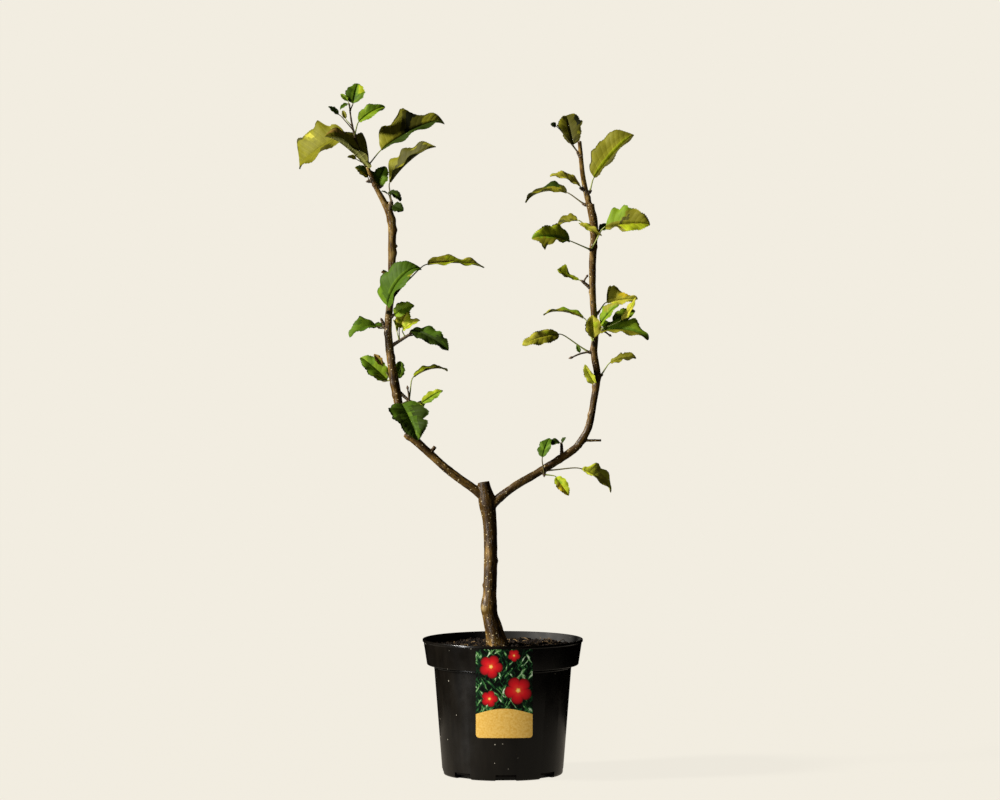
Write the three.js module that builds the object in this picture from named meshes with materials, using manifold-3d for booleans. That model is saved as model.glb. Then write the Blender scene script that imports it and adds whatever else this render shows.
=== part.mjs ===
// A young apple tree trained flat as a U: a short stem that forks into two rising arms, with single
// leaves and small tufts of leaves on short spurs, in a black nursery pot with a picture card.
// Millimetres, +Z up. The pot stands on z = 0 with its axis on the Z axis. The arms spread along X,
// and -Y is the front, where the card hangs.

import * as THREE from "three";
import { mergeVertices } from "three/addons/utils/BufferGeometryUtils.js";
import Module from "manifold-3d";

const wasm = await Module();
wasm.setup();

// Clearance between neighbouring solids.
const GAP = 0.3;

// Pot: outer radii from the foot to the lip, and the heights where they change.
const POT_HEIGHT = 197;
const LIP_RADIUS = 116.5;
const LIP_BEAD = 3;
const COLLAR_HEIGHT = 37;
const COLLAR_FOOT_RADIUS = 110;
const BODY_TOP_RADIUS = 100;
const BODY_FOOT_RADIUS = 87.5;
const WALL = 2;
const FLOOR = 6;
const CENTRE_PAD_RADIUS = 28;
const FOOT_RING_INNER = 60;
const RECESS_HEIGHT = 4;
const FOOT_ROUND = 5;
const POT_SIDES = 36;

// Drain slots cut through the corner between the wall and the floor.
const DRAIN_SLOTS = 8;
const SLOT_WIDTH = 30;
const SLOT_HEIGHT = 9;
const SLOT_INNER = 76;

// Compost: its level, and the flat seat that the stem stands on.
const SOIL_LEVEL = 186;
const SEAT_RADIUS = 30;
const SOIL_ROUGHNESS = 1.6;

// Picture card, fixed to the collar close under the lip. It is bowed a little and hangs free of the body.
const CARD_WIDTH = 81;
const CARD_FOOT = 66;
const CARD_THICKNESS = 0.8;
const CARD_CORNER = 5;
const CARD_BOW = 240;
const CARD_X = 2;
const CARD_TOP = POT_HEIGHT - 4.4;

// Leaf blades: the greatest breadth as a share of the length, where it comes, the fold of each half,
// and the thickness as a share of the length.
const BREADTH = 0.52;
const WIDEST_AT = 0.42;
const FOLD = 24;
const THICKNESS = 1 / 90;
const LEAST_THICKNESS = 1;

// Leaf stalks: radius at the spur and at the blade. Their roots are sunk to the middle of the spur.
const STALK_ROOT = 1.3;
const STALK_END = 0.9;

// Spurs: radius at the limb and at the tip, and the share of the length where the leaves spring.
const SPUR_ROOT = 2.6;
const SPUR_TIP = 2.1;
const SPRING = 0.9;

const UP = new THREE.Vector3(0, 0, 1);
const FRONT = new THREE.Vector3(0, -1, 0);

// Limbs: hand-set points along the middle line with the radius at each.
const TRUNK = {
  sides: 12,
  steps: 18,
  flare: 0.16,
  points: [
    [-6, 0, SOIL_LEVEL - 8, 16.5],
    [-12.5, 0, 209, 13],
    [-18.6, 0, 232, 11.4],
    [-20, 0, 243, 11.8],
    [-18.8, 0, 264, 9.8],
    [-17.6, 1, 318, 9.7],
    [-18.6, 1, 362, 10],
    [-22.5, 0, 395, 11.8],
    [-28, 0, 425, 8.6],
  ],
};
const LEFT_LOWER = {
  sides: 10,
  steps: 10,
  points: [
    [-24, 0, 402, 8.2],
    [-47.6, -1, 419, 6.3],
    [-78, -2, 441.5, 5.9],
    [-108.6, -1, 468.6, 5.8],
    [-131, 0, 489, 6.4],
    [-141, 0, 496, 5.6],
  ],
};
const LEFT_UPPER = {
  sides: 8,
  steps: 24,
  points: [
    [-128, 0, 488, 6],
    [-146.5, -2, 522, 6.2],
    [-156, -3, 566, 6.8],
    [-163.5, 0, 615, 6],
    [-166, 2, 652, 5.4],
    [-162, 3, 700, 5],
    [-160.5, 1, 760, 5.7],
    [-161.5, -1, 806, 6.1],
    [-172, -1, 831, 4.6],
    [-184, 0, 853, 3.6],
    [-196, 0, 882, 2.9],
  ],
};
const RIGHT_LOWER = {
  sides: 10,
  steps: 10,
  points: [
    [-22, 0, 386, 8],
    [-6, -1, 401, 6.6],
    [13.3, -2, 416, 5.8],
    [54, -3, 440.7, 5.7],
    [94.8, -1, 466, 5.6],
    [108, 0, 476, 5.6],
  ],
};
const RIGHT_UPPER = {
  sides: 8,
  steps: 26,
  points: [
    [108.3, 0, 476.2, 5.6],
    [124, 0, 503, 5.3],
    [132, 1, 543, 4.9],
    [137, 2, 579, 5.1],
    [132.5, 2, 612, 5.1],
    [134, 0, 640, 4.8],
    [130.6, -2, 690, 4.7],
    [130, -2, 742, 5.2],
    [132.2, -1, 784, 5.3],
    [130.5, 0, 808, 6.2],
    [122, 1, 838, 4],
    [115.5, 0, 872, 3.6],
    [111, 0, 919, 3.1],
  ],
};

// Pruned snags and bare bud spurs that are grown together with an arm: height on the arm, angle from
// +X in the plane of the tree, length from the middle line, and radius.
const LEFT_LOWER_SNAGS = [{ across: -106, aim: 52, length: 13, radius: 2.6 }];
const LEFT_SNAGS = [
  { height: 722, aim: 150, length: 17, radius: 1.9 },
  { height: 762, aim: 48, length: 10, radius: 3.2 },
  { height: 812, aim: 86, length: 19, radius: 3.9 },
];
const RIGHT_SNAGS = [
  { height: 485, aim: 1, length: 29, radius: 1.9 },
  { height: 806, aim: 97, length: 22, radius: 4.3 },
];

// Spurs and leaves. An aim is an angle from +X in the plane of the tree, and a lean is an angle out of
// that plane towards the front. A leaf's stalk has a length, an aim and, where it isn't half the blade's,
// a lean. Its blade has a length, an arch (the angle it bends through towards its underside) and a face
// (the turn of its upper side from the sky, 0, to the front, 90). It springs from the tip of its spur, or
// from a share of the spur's length. A twig is a bare one with a bud.
const SPRAYS = [
  {
    name: "spray_left_1",
    on: LEFT_UPPER,
    height: 560,
    stem: { aim: -41, lean: 8, length: 28 },
    leaves: [
      { stalk: [11, 208, 20], aim: -64, lean: 50, blade: 83, arch: 24, face: 10, breadth: 0.74 },
      { stalk: [19, -10], aim: 32, lean: 0, blade: 36, arch: 8, face: 56, fold: 14, breadth: 0.46 },
      { stalk: [15, -50, 40], aim: 3, lean: 8, blade: 15, arch: 16, face: 60, breadth: 0.6 },
      { stalk: [36, 78], aim: 11, lean: -20, blade: 56, arch: 56, face: 10, fold: 20, breadth: 0.42 },
      { stalk: [8, -60], aim: -62, lean: -70, blade: 60, arch: 30, face: 0 },
      { twig: 20, aim: 96, lean: -6 },
    ],
  },
  {
    name: "spray_left_2",
    on: LEFT_UPPER,
    height: 572,
    stem: { aim: 168, lean: -62, length: 13 },
    leaves: [
      { stalk: [6, 180, -20], aim: 139, lean: -12, blade: 53, arch: 20, face: 56, breadth: 0.6 },
      { stalk: [26, 122, -10], aim: 124, lean: -10, blade: 20, arch: 10, face: 50, breadth: 0.6 },
      { stalk: [10, 12, -30], aim: 78, lean: -10, blade: 27, arch: 20, face: 62, breadth: 0.7 },
      { stalk: [14, 190], aim: 150, lean: -66, blade: 60, arch: 30, face: 0 },
    ],
  },
  {
    name: "spray_left_3",
    on: LEFT_UPPER,
    height: 621,
    stem: { aim: 32, lean: 4, length: 37 },
    leaves: [
      { stalk: [9, 59], aim: -27, lean: 22, blade: 66, arch: 26, face: 36, fold: 20, breadth: 0.5 },
      { from: 0.72, stalk: [11, 109], aim: 32, lean: 12, blade: 30, arch: 16, face: 44, breadth: 0.66 },
      { from: 0.45, stalk: [19, 88], aim: 66, lean: -8, blade: 30, arch: 10, face: 56, breadth: 0.8 },
      { from: 0.45, stalk: [14, 103], aim: 106, lean: 8, blade: 19, arch: 20, face: 50 },
      { from: 0.8, stalk: [12, 10], aim: -14, lean: -66, blade: 56, arch: 34, face: 0 },
    ],
  },
  {
    name: "spray_left_4",
    on: LEFT_UPPER,
    height: 640,
    stem: { aim: 116, lean: 4, length: 22 },
    leaves: [
      { from: 0.5, stalk: [13, 178], aim: 200, lean: 12, blade: 46,
        arch: 70, face: 34, fold: 26, breadth: 0.66 },
      { from: 0.4, stalk: [12, 180], aim: 176, lean: -70, blade: 46, arch: 30, face: 0 },
    ],
  },
  {
    name: "spray_left_5",
    on: LEFT_UPPER,
    height: 661,
    stem: { aim: 40, lean: 16, length: 10 },
    leaves: [
      { stalk: [2, 45], aim: 25, lean: 14, blade: 34, arch: 30, face: 70, breadth: 0.7 },
    ],
  },
  {
    name: "spray_left_6",
    on: LEFT_UPPER,
    height: 671,
    stem: { aim: 180, lean: 74, length: 11 },
    leaves: [
      { stalk: [9, 84], aim: 52, lean: 8, blade: 84, arch: 70, face: 50, fold: 22, breadth: 0.72 },
    ],
  },
  {
    name: "spray_left_7",
    on: LEFT_UPPER,
    height: 690,
    stem: { aim: 50, lean: -10, length: 29 },
    leaves: [
      { stalk: [49, 40, -8], aim: -3, lean: -20, blade: 89,
        arch: 26, face: 18, fold: 14, breadth: 0.46 },
      { from: 0.8, stalk: [12, 120], aim: 150, lean: -72, blade: 60, arch: 30, face: 0 },
    ],
  },
  {
    name: "spray_left_8",
    on: LEFT_UPPER,
    height: 816,
    stem: { aim: 76, lean: 34, length: 19 },
    leaves: [
      { stalk: [30, 93, 4], aim: 40, lean: 16, blade: 89, arch: 30, face: 34, fold: 32 },
      { stalk: [16, 101], aim: -38, lean: 14, blade: 24, arch: 64, face: 36, breadth: 0.62 },
      { stalk: [14, 111], aim: 155, lean: 10, blade: 10, arch: 20, face: 24 },
      { stalk: [5, -62, 10], aim: -25, lean: 16, blade: 18, arch: 16, face: 62, breadth: 1 },
    ],
  },
  {
    name: "spray_left_9",
    on: LEFT_UPPER,
    height: 851,
    stem: { aim: 20, lean: -12, length: 8 },
    leaves: [
      { stalk: [7, 183], aim: 66, lean: -12, blade: 34, arch: 20, face: 62, fold: 20, breadth: 0.72 },
      { stalk: [10, 120], aim: 110, lean: -74, blade: 52, arch: 26, face: 0 },
    ],
  },
  {
    name: "spray_left_10",
    on: LEFT_UPPER,
    height: 862,
    stem: { aim: 190, lean: 10, length: 7 },
    leaves: [
      { stalk: [6, 100], aim: 140, lean: 6, blade: 24, arch: 20, face: 46, breadth: 0.85 },
    ],
  },
  {
    name: "spray_left_tip",
    on: LEFT_UPPER,
    height: 882,
    stem: { aim: 106, lean: -4, length: 95, arch: -26, radius: 2.3, tip: 1 },
    leaves: [
      { from: 0.06, stalk: [7, -65], aim: 140, lean: 22, blade: 83, arch: 22, face: 26, breadth: 1 },
      { from: 0, stalk: [32, 50, -4], aim: 27, lean: -14, blade: 107,
        arch: 28, face: 26, fold: 27, breadth: 0.6 },
      { from: 0.4, stalk: [22, 145, -24], aim: 214, lean: -18, blade: 90,
        arch: 44, face: 50, breadth: 0.76 },
      { from: 0.52, stalk: [20, 72], aim: 31, lean: -6, blade: 46, arch: 44, face: 48, breadth: 0.54 },
      { from: 0.6, stalk: [31, 133], aim: 141, lean: 12, blade: 19, arch: -14, face: 46, breadth: 0.7 },
      { from: 0.64, stalk: [16, 130], aim: 110, lean: -20, blade: 14, arch: 20, face: 40 },
      { stalk: [12, 68], aim: 78, lean: -30, blade: 36, arch: 16, face: 6, fold: 16, breadth: 0.8 },
      { from: 0.97, stalk: [4, 131], aim: 216, lean: 14, blade: 15, arch: 40, face: 44 },
      { from: 0.94, stalk: [10, 108], aim: 135, lean: -20, blade: 16, arch: 10, face: 44 },
      { from: 0.22, stalk: [12, 150], aim: 138, lean: -60, blade: 66, arch: 34, face: 0 },
      { from: 0.02, stalk: [18, 150, -14], aim: 165, lean: -10, blade: 14,
        arch: 40, face: 40, breadth: 0.7 },
    ],
  },
  {
    name: "spray_right_1",
    on: RIGHT_LOWER,
    across: 60,
    stem: { aim: -90, lean: 30, length: 10 },
    leaves: [
      { stalk: [26, 96, 14], aim: 70, lean: -24, blade: 33, arch: 20, face: 4, fold: 18, breadth: 0.66 },
      { from: 0.3, stalk: [55, 3, 6], aim: -37, lean: -12, blade: 59,
        arch: 44, face: 40, fold: 20, breadth: 0.74 },
      { stalk: [18, -12, 10], aim: -55, lean: 20, blade: 34, arch: 16, face: 50, breadth: 0.56 },
    ],
  },
  {
    name: "spray_right_2",
    on: RIGHT_LOWER,
    across: 86,
    stem: { aim: 92, lean: -10, length: 19 },
    leaves: [
      { stalk: [6, 117], aim: 193, lean: 10, blade: 20, arch: 60, face: 40, breadth: 0.7 },
      { stalk: [5, 83], aim: 55, lean: 16, blade: 10, arch: 20, face: 54, breadth: 0.9 },
    ],
  },
  {
    name: "spray_right_3",
    on: RIGHT_UPPER,
    height: 566,
    stem: { aim: 228, lean: 34, length: 3 },
    leaves: [
      { stalk: [2, 100], aim: 119, lean: 10, blade: 34, arch: 20, face: 135, breadth: 0.46 },
    ],
  },
  {
    name: "spray_right_4",
    on: RIGHT_UPPER,
    height: 577,
    stem: { aim: 24, lean: 6, length: 6 },
    leaves: [
      { stalk: [24, 54], aim: 12, lean: 8, blade: 40, arch: 40, face: 36, fold: 20, breadth: 0.6 },
    ],
  },
  {
    name: "spray_right_5",
    on: RIGHT_UPPER,
    height: 613,
    stem: { aim: 177, lean: 14, length: 9 },
    leaves: [
      { stalk: [51, 149, 6], aim: 194, lean: 26, blade: 64, arch: 36, face: 64, fold: 8, breadth: 0.35 },
      { stalk: [13, 184], aim: 112, lean: -16, blade: 13, arch: 10, face: 50 },
      { twig: 29, aim: 198, lean: 4 },
    ],
  },
  {
    name: "spray_right_6",
    on: RIGHT_UPPER,
    height: 622,
    stem: { aim: 110, lean: 60, length: 13 },
    leaves: [
      { stalk: [9, 86, 36], aim: 93, lean: -12, blade: 34, arch: 16, face: 4, fold: 14, breadth: 0.72 },
      { stalk: [42, 111, -24], aim: 174, lean: -20, blade: 65,
        arch: 46, face: 10, fold: 18, breadth: 0.36 },
    ],
  },
  {
    name: "spray_right_7",
    on: RIGHT_UPPER,
    height: 640,
    stem: { aim: 40, lean: 8, length: 10 },
    leaves: [
      { stalk: [3, -47, 20], aim: -6, lean: 22, blade: 78, arch: 46, face: 34, fold: 22, breadth: 0.6 },
      { stalk: [10, 82, 26], aim: 50, lean: 25, blade: 42, arch: 16, face: 56, breadth: 0.72 },
      { stalk: [37, 26, 22], aim: 60, lean: 30, blade: 44,
        arch: -34, face: 78, fold: 12, breadth: 0.32 },
      { stalk: [22, 32], aim: 27, lean: -4, blade: 37, arch: 20, face: 70, breadth: 0.6 },
      { twig: 22, aim: -29, lean: 38 },
      { stalk: [10, 20], aim: 2, lean: -70, blade: 62, arch: 30, face: 0 },
    ],
  },
  {
    name: "spray_right_8",
    on: RIGHT_UPPER,
    height: 666,
    stem: { aim: 40, lean: 4, length: 8 },
    leaves: [
      { stalk: [21, 49, -22], aim: 8, lean: 6, blade: 46, arch: 16, face: 52, fold: 30, breadth: 0.66 },
    ],
  },
  {
    name: "spray_right_9",
    on: RIGHT_UPPER,
    height: 704,
    stem: { aim: 140, lean: 6, length: 19 },
    leaves: [
      { stalk: [8, 151], aim: 152, lean: 4, blade: 35, arch: -40, face: 44, fold: 20, breadth: 0.44 },
      { twig: 11, aim: 61, lean: 0 },
    ],
  },
  {
    name: "spray_right_10",
    on: RIGHT_UPPER,
    height: 763,
    stem: { aim: 200, lean: 62, length: 10 },
    leaves: [
      { stalk: [34, 157], aim: 175, lean: 22, blade: 61, arch: 40, face: 58, fold: 26, breadth: 0.64 },
      { stalk: [40, 57, 8], aim: 5, lean: 20, blade: 68, arch: 22, face: 54, breadth: 0.78 },
    ],
  },
  {
    name: "spray_right_11",
    on: RIGHT_UPPER,
    height: 788,
    stem: { aim: 150, lean: 0, length: 8 },
    leaves: [
      { stalk: [22, 144, -6], aim: 197, lean: -20, blade: 36, arch: 40, face: 26, breadth: 0.8 },
      { stalk: [25, 152, 48], aim: -28, lean: 8, blade: 37, arch: 14, face: 50, fold: 20, breadth: 0.3 },
    ],
  },
  {
    name: "spray_right_12",
    on: RIGHT_UPPER,
    height: 786,
    stem: { aim: 24, lean: -20, length: 8 },
    leaves: [
      { stalk: [2, 70, -10], aim: 11, lean: -20, blade: 22, arch: 20, face: 36, breadth: 0.8 },
    ],
  },
  {
    name: "spray_right_13",
    on: RIGHT_UPPER,
    height: 826,
    stem: { aim: 168, lean: -8, length: 8 },
    leaves: [
      { stalk: [32, 146, -12], aim: 192, lean: -24, blade: 72,
        arch: 62, face: 20, fold: 18, breadth: 0.54 },
    ],
  },
  {
    name: "spray_right_14",
    on: RIGHT_UPPER,
    height: 842,
    stem: { aim: 36, lean: 24, length: 7 },
    leaves: [
      { stalk: [22, 73], aim: 49, lean: 4, blade: 85, arch: 10, face: 52, fold: 32, breadth: 0.68 },
    ],
  },
  {
    name: "spray_right_15",
    on: RIGHT_UPPER,
    height: 848,
    stem: { aim: 160, lean: 20, length: 7 },
    leaves: [
      { stalk: [5, 119], aim: 160, lean: 14, blade: 49, arch: 40, face: 30, fold: 18, breadth: 0.54 },
    ],
  },
  {
    name: "spray_right_16",
    on: RIGHT_UPPER,
    height: 897,
    stem: { aim: 128, lean: 4, length: 7 },
    leaves: [
      { stalk: [14, 122, -4], aim: 102, lean: -42, blade: 66,
        arch: 20, face: 8, fold: 22, breadth: 0.72 },
      { stalk: [50, 130], aim: 158, lean: 10, blade: 9, arch: 40, face: 62, breadth: 1 },
    ],
  },
];

const radians = THREE.MathUtils.degToRad;

// A unit direction from its angle in the plane of the tree and its angle towards the front.
function direction(aim, lean) {
  const a = radians(aim);
  const l = radians(lean);
  return new THREE.Vector3(Math.cos(a) * Math.cos(l), -Math.sin(l), Math.sin(a) * Math.cos(l));
}

// Direction a turned by an angle in degrees towards b, which is at right angles to it.
function turned(a, b, angle) {
  const t = radians(angle);
  return a.clone().multiplyScalar(Math.cos(t)).addScaledVector(b, Math.sin(t));
}

// The part of a vector at right angles to an axis, as a unit vector.
function acrossFrom(vector, axis) {
  return vector.clone().addScaledVector(axis, -vector.dot(axis)).normalize();
}

// A closed solid through rings of corners, with both ends closed by the given triangles.
function solidThroughRings(rings, endTriangles) {
  const corners = rings[0].length;
  const vertices = rings.flat().flatMap((p) => [p.x, p.y, p.z]);
  const triangles = [];
  for (let i = 0; i + 1 < rings.length; i++) {
    for (let j = 0; j < corners; j++) {
      const a = i * corners + j;
      const b = i * corners + ((j + 1) % corners);
      triangles.push(a, b, a + corners, b, b + corners, a + corners);
    }
  }
  const last = (rings.length - 1) * corners;
  for (const [a, b, c] of endTriangles) {
    triangles.push(c, b, a);
    triangles.push(last + a, last + b, last + c);
  }
  return manifoldOf(new Float32Array(vertices), new Uint32Array(triangles));
}

function manifoldOf(vertProperties, triVerts) {
  return new wasm.Manifold(new wasm.Mesh({ numProp: 3, vertProperties, triVerts }));
}

// A three.js geometry as a solid, with its shared vertices merged.
function manifoldFrom(geometry) {
  const bare = geometry.clone();
  bare.deleteAttribute("normal");
  bare.deleteAttribute("uv");
  const merged = mergeVertices(bare, 1e-4);
  return manifoldOf(merged.attributes.position.array, new Uint32Array(merged.index.array));
}

function geometryOf(solid) {
  const mesh = solid.getMesh();
  const geometry = new THREE.BufferGeometry();
  geometry.setAttribute("position", new THREE.BufferAttribute(mesh.vertProperties, mesh.numProp));
  geometry.setIndex(new THREE.BufferAttribute(mesh.triVerts, 1));
  const flat = geometry.toNonIndexed();
  flat.computeVertexNormals();
  return flat;
}

const fan = (corners) => Array.from({ length: corners - 2 }, (_, i) => [0, i + 1, i + 2]);

// A tapering tube through points with a radius each. Corners start from the side that faces the front.
function tube(points, radii, sides, wobble = () => 1) {
  const rings = points.map((point, i) => {
    const before = points[Math.max(i - 1, 0)];
    const after = points[Math.min(i + 1, points.length - 1)];
    const along = after.clone().sub(before).normalize();
    const reference = Math.abs(along.dot(FRONT)) > 0.9 ? UP : FRONT;
    const u = acrossFrom(reference, along);
    const v = along.clone().cross(u);
    return Array.from({ length: sides }, (_, j) => {
      const angle = (2 * Math.PI * j) / sides;
      const r = radii[i] * wobble(angle, i);
      return point.clone().addScaledVector(u, r * Math.cos(angle)).addScaledVector(v, r * Math.sin(angle));
    });
  });
  return solidThroughRings(rings, fan(sides));
}

// The smooth middle line of a limb, and its radius, at shares of its point numbers.
function middleLine(limb) {
  const curve = new THREE.CatmullRomCurve3(
    limb.points.map(([x, y, z]) => new THREE.Vector3(x, y, z)),
    false,
    "centripetal",
  );
  const spans = limb.points.length - 1;
  const radiusAt = (t) => {
    const i = Math.min(Math.floor(t * spans), spans - 1);
    const part = t * spans - i;
    const ease = part * part * (3 - 2 * part);
    return limb.points[i][3] * (1 - ease) + limb.points[i + 1][3] * ease;
  };
  return { curve, radiusAt };
}

// A limb as a solid. grow makes it thicker and longer all round, to cut a clearance with.
function limbSolid(limb, grow = 0) {
  const { curve, radiusAt } = middleLine(limb);
  const shares = Array.from({ length: limb.steps + 1 }, (_, i) => i / limb.steps);
  const points = shares.map((t) => curve.getPoint(t));
  points[0].addScaledVector(curve.getTangent(0), -grow);
  points[points.length - 1].addScaledVector(curve.getTangent(1), grow);
  const radii = shares.map((t) => radiusAt(t) + grow);
  const roots = (angle, i) => {
    const fade = Math.exp(-shares[i] * 14);
    return 1 + (limb.flare ?? 0) * fade * Math.cos(4 * angle + 0.6);
  };
  return tube(points, radii, limb.sides, roots);
}

// The point of a limb's middle line with the given height, or the given place across.
function pointOn(limb, { height, across }) {
  const { curve, radiusAt } = middleLine(limb);
  const miss = (p) => Math.abs(height === undefined ? p.x - across : p.z - height);
  const tries = 600;
  let best = 0;
  for (let i = 0; i <= tries; i++) {
    if (miss(curve.getPoint(i / tries)) < miss(curve.getPoint(best))) best = i / tries;
  }
  return { point: curve.getPoint(best), radius: radiusAt(best) };
}

// Points along an arc of the given length that starts at a point and bends away from its normal.
function arc(start, along, normal, length, arch, steps) {
  const places = [{ point: start.clone(), along: turned(along, normal, arch / 2) }];
  for (let i = 1; i <= steps; i++) {
    const middle = turned(along, normal, arch / 2 - (arch * (i - 0.5)) / steps);
    places.push({
      point: places[i - 1].point.clone().addScaledVector(middle, length / steps),
      along: turned(along, normal, arch / 2 - (arch * i) / steps),
    });
  }
  return places;
}

// The upper side of a leaf: from the sky towards the front by face.
function upperSide(along, face) {
  const sky = acrossFrom(UP, along);
  const side = along.clone().cross(sky);
  if (side.dot(FRONT) < 0) side.negate();
  return turned(sky, side, face);
}

// Half breadth of a blade at share t of its length, as a share of the greatest: an oval with a point.
function outline(t) {
  const bend = Math.log(0.5) / Math.log(WIDEST_AT);
  return Math.max(Math.sin(Math.PI * Math.pow(t, bend)) ** 0.72, 0.05);
}

// One leaf with its stalk, in a single skin six corners round, from a point on its spur.
function leafSolid(root, leaf) {
  const along = direction(leaf.aim, leaf.lean);
  const normal = upperSide(along, leaf.face);
  const ring = (point, forward, reference, corners) => {
    const up = acrossFrom(reference, forward);
    const side = forward.clone().cross(up);
    return corners.map(([x, y]) => point.clone().addScaledVector(side, x).addScaledVector(up, y));
  };

  const [stalk, stalkAim, stalkLean = leaf.lean / 2] = leaf.stalk;
  const stalkWay = direction(stalkAim, stalkLean);
  const slender = Math.min(1, 0.55 + leaf.blade / 90);
  const stalkRings = [0, stalk * 0.5, stalk].map((distance, i) => {
    const r = slender * THREE.MathUtils.lerp(STALK_ROOT, STALK_END, i / 2);
    const half = [-0.87 * r, 0.87 * r];
    return ring(root.clone().addScaledVector(stalkWay, distance), stalkWay, normal, [
      [half[0], r / 2],
      [0, r],
      [half[1], r / 2],
      [half[1], -r / 2],
      [0, -r],
      [half[0], -r / 2],
    ]);
  });

  const base = root.clone().addScaledVector(stalkWay, stalk);
  const steps = leaf.blade < 25 ? 3 : leaf.blade < 40 ? 4 : 5;
  const places = arc(base, along, normal, leaf.blade, leaf.arch, steps);
  const thick = Math.max(LEAST_THICKNESS, leaf.blade * THICKNESS);
  const fold = radians(leaf.fold ?? FOLD);
  const halfBreadth = (leaf.blade * (leaf.breadth ?? BREADTH)) / 2;
  const bladeRings = places.slice(1).map(({ point, along: forward }, i) => {
    const t = (i + 1) / steps;
    const w = halfBreadth * outline(t);
    const [across, raised] = [w * Math.cos(fold), w * Math.sin(fold)];
    return ring(point, forward, normal, [
      [-across, raised],
      [0, 0],
      [across, raised],
      [across, raised - thick],
      [0, -thick],
      [-across, raised - thick],
    ]);
  });
  return solidThroughRings([...stalkRings, ...bladeRings], [
    [0, 1, 5],
    [1, 4, 5],
    [1, 2, 4],
    [2, 3, 4],
  ]);
}

// A bare twig with a bud at its end, from a point on its spur.
function twigSolid(root, twig) {
  const along = direction(twig.aim, twig.lean);
  const points = [0, twig.twig * 0.7, twig.twig * 0.88, twig.twig];
  return tube(
    points.map((d) => root.clone().addScaledVector(along, d)),
    [1.5, 1.3, 1.9, 0.8],
    5,
  );
}

// A spur with its leaves, grown into one solid and cut clear of the limbs.
function spraySolid(spray, clearance) {
  const { stem } = spray;
  const { point } = pointOn(spray.on, spray);
  const along = direction(stem.aim, stem.lean);
  const steps = Math.max(2, Math.round(stem.length / 12));
  const places = arc(point, along, acrossFrom(UP, along), stem.length, stem.arch ?? 0, steps);
  const root = stem.radius ?? SPUR_ROOT;
  const tip = stem.tip ?? SPUR_TIP;
  const radii = places.map((_, i) => THREE.MathUtils.lerp(root, tip, i / steps));
  const line = new THREE.CatmullRomCurve3(places.map((p) => p.point));
  const leaves = spray.leaves.map((leaf) => {
    const from = line.getPoint(leaf.from ?? SPRING);
    return leaf.twig ? twigSolid(from, leaf) : leafSolid(from, leaf);
  });
  const grown = leaves.reduce((all, leaf) => all.add(leaf), tube(line.points, radii, 5));
  const bodies = grown.subtract(clearance).decompose();
  return bodies.sort((a, b) => b.volume() - a.volume())[0];
}

// An arm with its snags grown on.
function armSolid(limb, snags, grow = 0) {
  return snags.reduce((arm, snag) => {
    const { point } = pointOn(limb, snag);
    const along = direction(snag.aim, 0);
    const line = [0, 0.6, 1].map((d) =>
      point.clone().addScaledVector(along, d * snag.length + (d && grow)),
    );
    const radii = [1.15, 1, 0.92].map((share) => share * snag.radius + grow);
    return arm.add(tube(line, radii, 6));
  }, limbSolid(limb, grow));
}

// A solid of revolution about Z from a profile of radius and height.
function turnedSolid(profile, sides) {
  const lathe = new THREE.LatheGeometry(
    profile.map(([r, z]) => new THREE.Vector2(r, z)),
    sides,
  );
  lathe.rotateX(Math.PI / 2);
  return lathe;
}

// A block between two corners, turned about Z.
function block(low, high, angle = 0) {
  const size = high.map((h, i) => h - low[i]);
  const box = new THREE.BoxGeometry(...size);
  box.translate(...low.map((l, i) => l + size[i] / 2));
  box.rotateZ(angle);
  return manifoldFrom(box);
}

const collarFoot = POT_HEIGHT - COLLAR_HEIGHT;
const collarTopRadius = LIP_RADIUS - 1.6;
const bodyInnerFoot = BODY_FOOT_RADIUS - WALL;
const bodyInnerTop = BODY_TOP_RADIUS - WALL;
const collarInnerFoot = COLLAR_FOOT_RADIUS - WALL;
const lipInner = LIP_RADIUS - LIP_BEAD;
const ledgeTop = collarFoot + WALL + 1;

// The pot: floor on a centre pad and a foot ring, tapering body, stepped collar and beaded lip.
function potSolid() {
  const shell = manifoldFrom(
    turnedSolid(
      [
        [0, 0],
        [CENTRE_PAD_RADIUS, 0],
        [CENTRE_PAD_RADIUS + 2, RECESS_HEIGHT],
        [FOOT_RING_INNER - 2, RECESS_HEIGHT],
        [FOOT_RING_INNER, 0],
        [BODY_FOOT_RADIUS - FOOT_ROUND, 0],
        [BODY_FOOT_RADIUS - FOOT_ROUND * 0.3, FOOT_ROUND * 0.3],
        [BODY_FOOT_RADIUS, FOOT_ROUND],
        [BODY_TOP_RADIUS, collarFoot],
        [COLLAR_FOOT_RADIUS - 2, collarFoot],
        [COLLAR_FOOT_RADIUS, collarFoot + 2],
        [collarTopRadius, POT_HEIGHT - LIP_BEAD - 1],
        [LIP_RADIUS, POT_HEIGHT - LIP_BEAD],
        [LIP_RADIUS, POT_HEIGHT - 0.8],
        [LIP_RADIUS - 0.8, POT_HEIGHT],
        [lipInner + 0.6, POT_HEIGHT],
        [lipInner, POT_HEIGHT - 0.8],
        [collarInnerFoot, ledgeTop + 1],
        [bodyInnerTop, ledgeTop],
        [bodyInnerFoot, FLOOR],
        [0, FLOOR],
      ],
      POT_SIDES,
    ),
  );
  const slots = Array.from({ length: DRAIN_SLOTS }, (_, i) =>
    block(
      [SLOT_INNER, -SLOT_WIDTH / 2, -1],
      [BODY_FOOT_RADIUS + 4, SLOT_WIDTH / 2, SLOT_HEIGHT],
      (2 * Math.PI * i) / DRAIN_SLOTS + radians(-87),
    ),
  );
  return slots.reduce((pot, slot) => pot.subtract(slot), shell);
}

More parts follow.
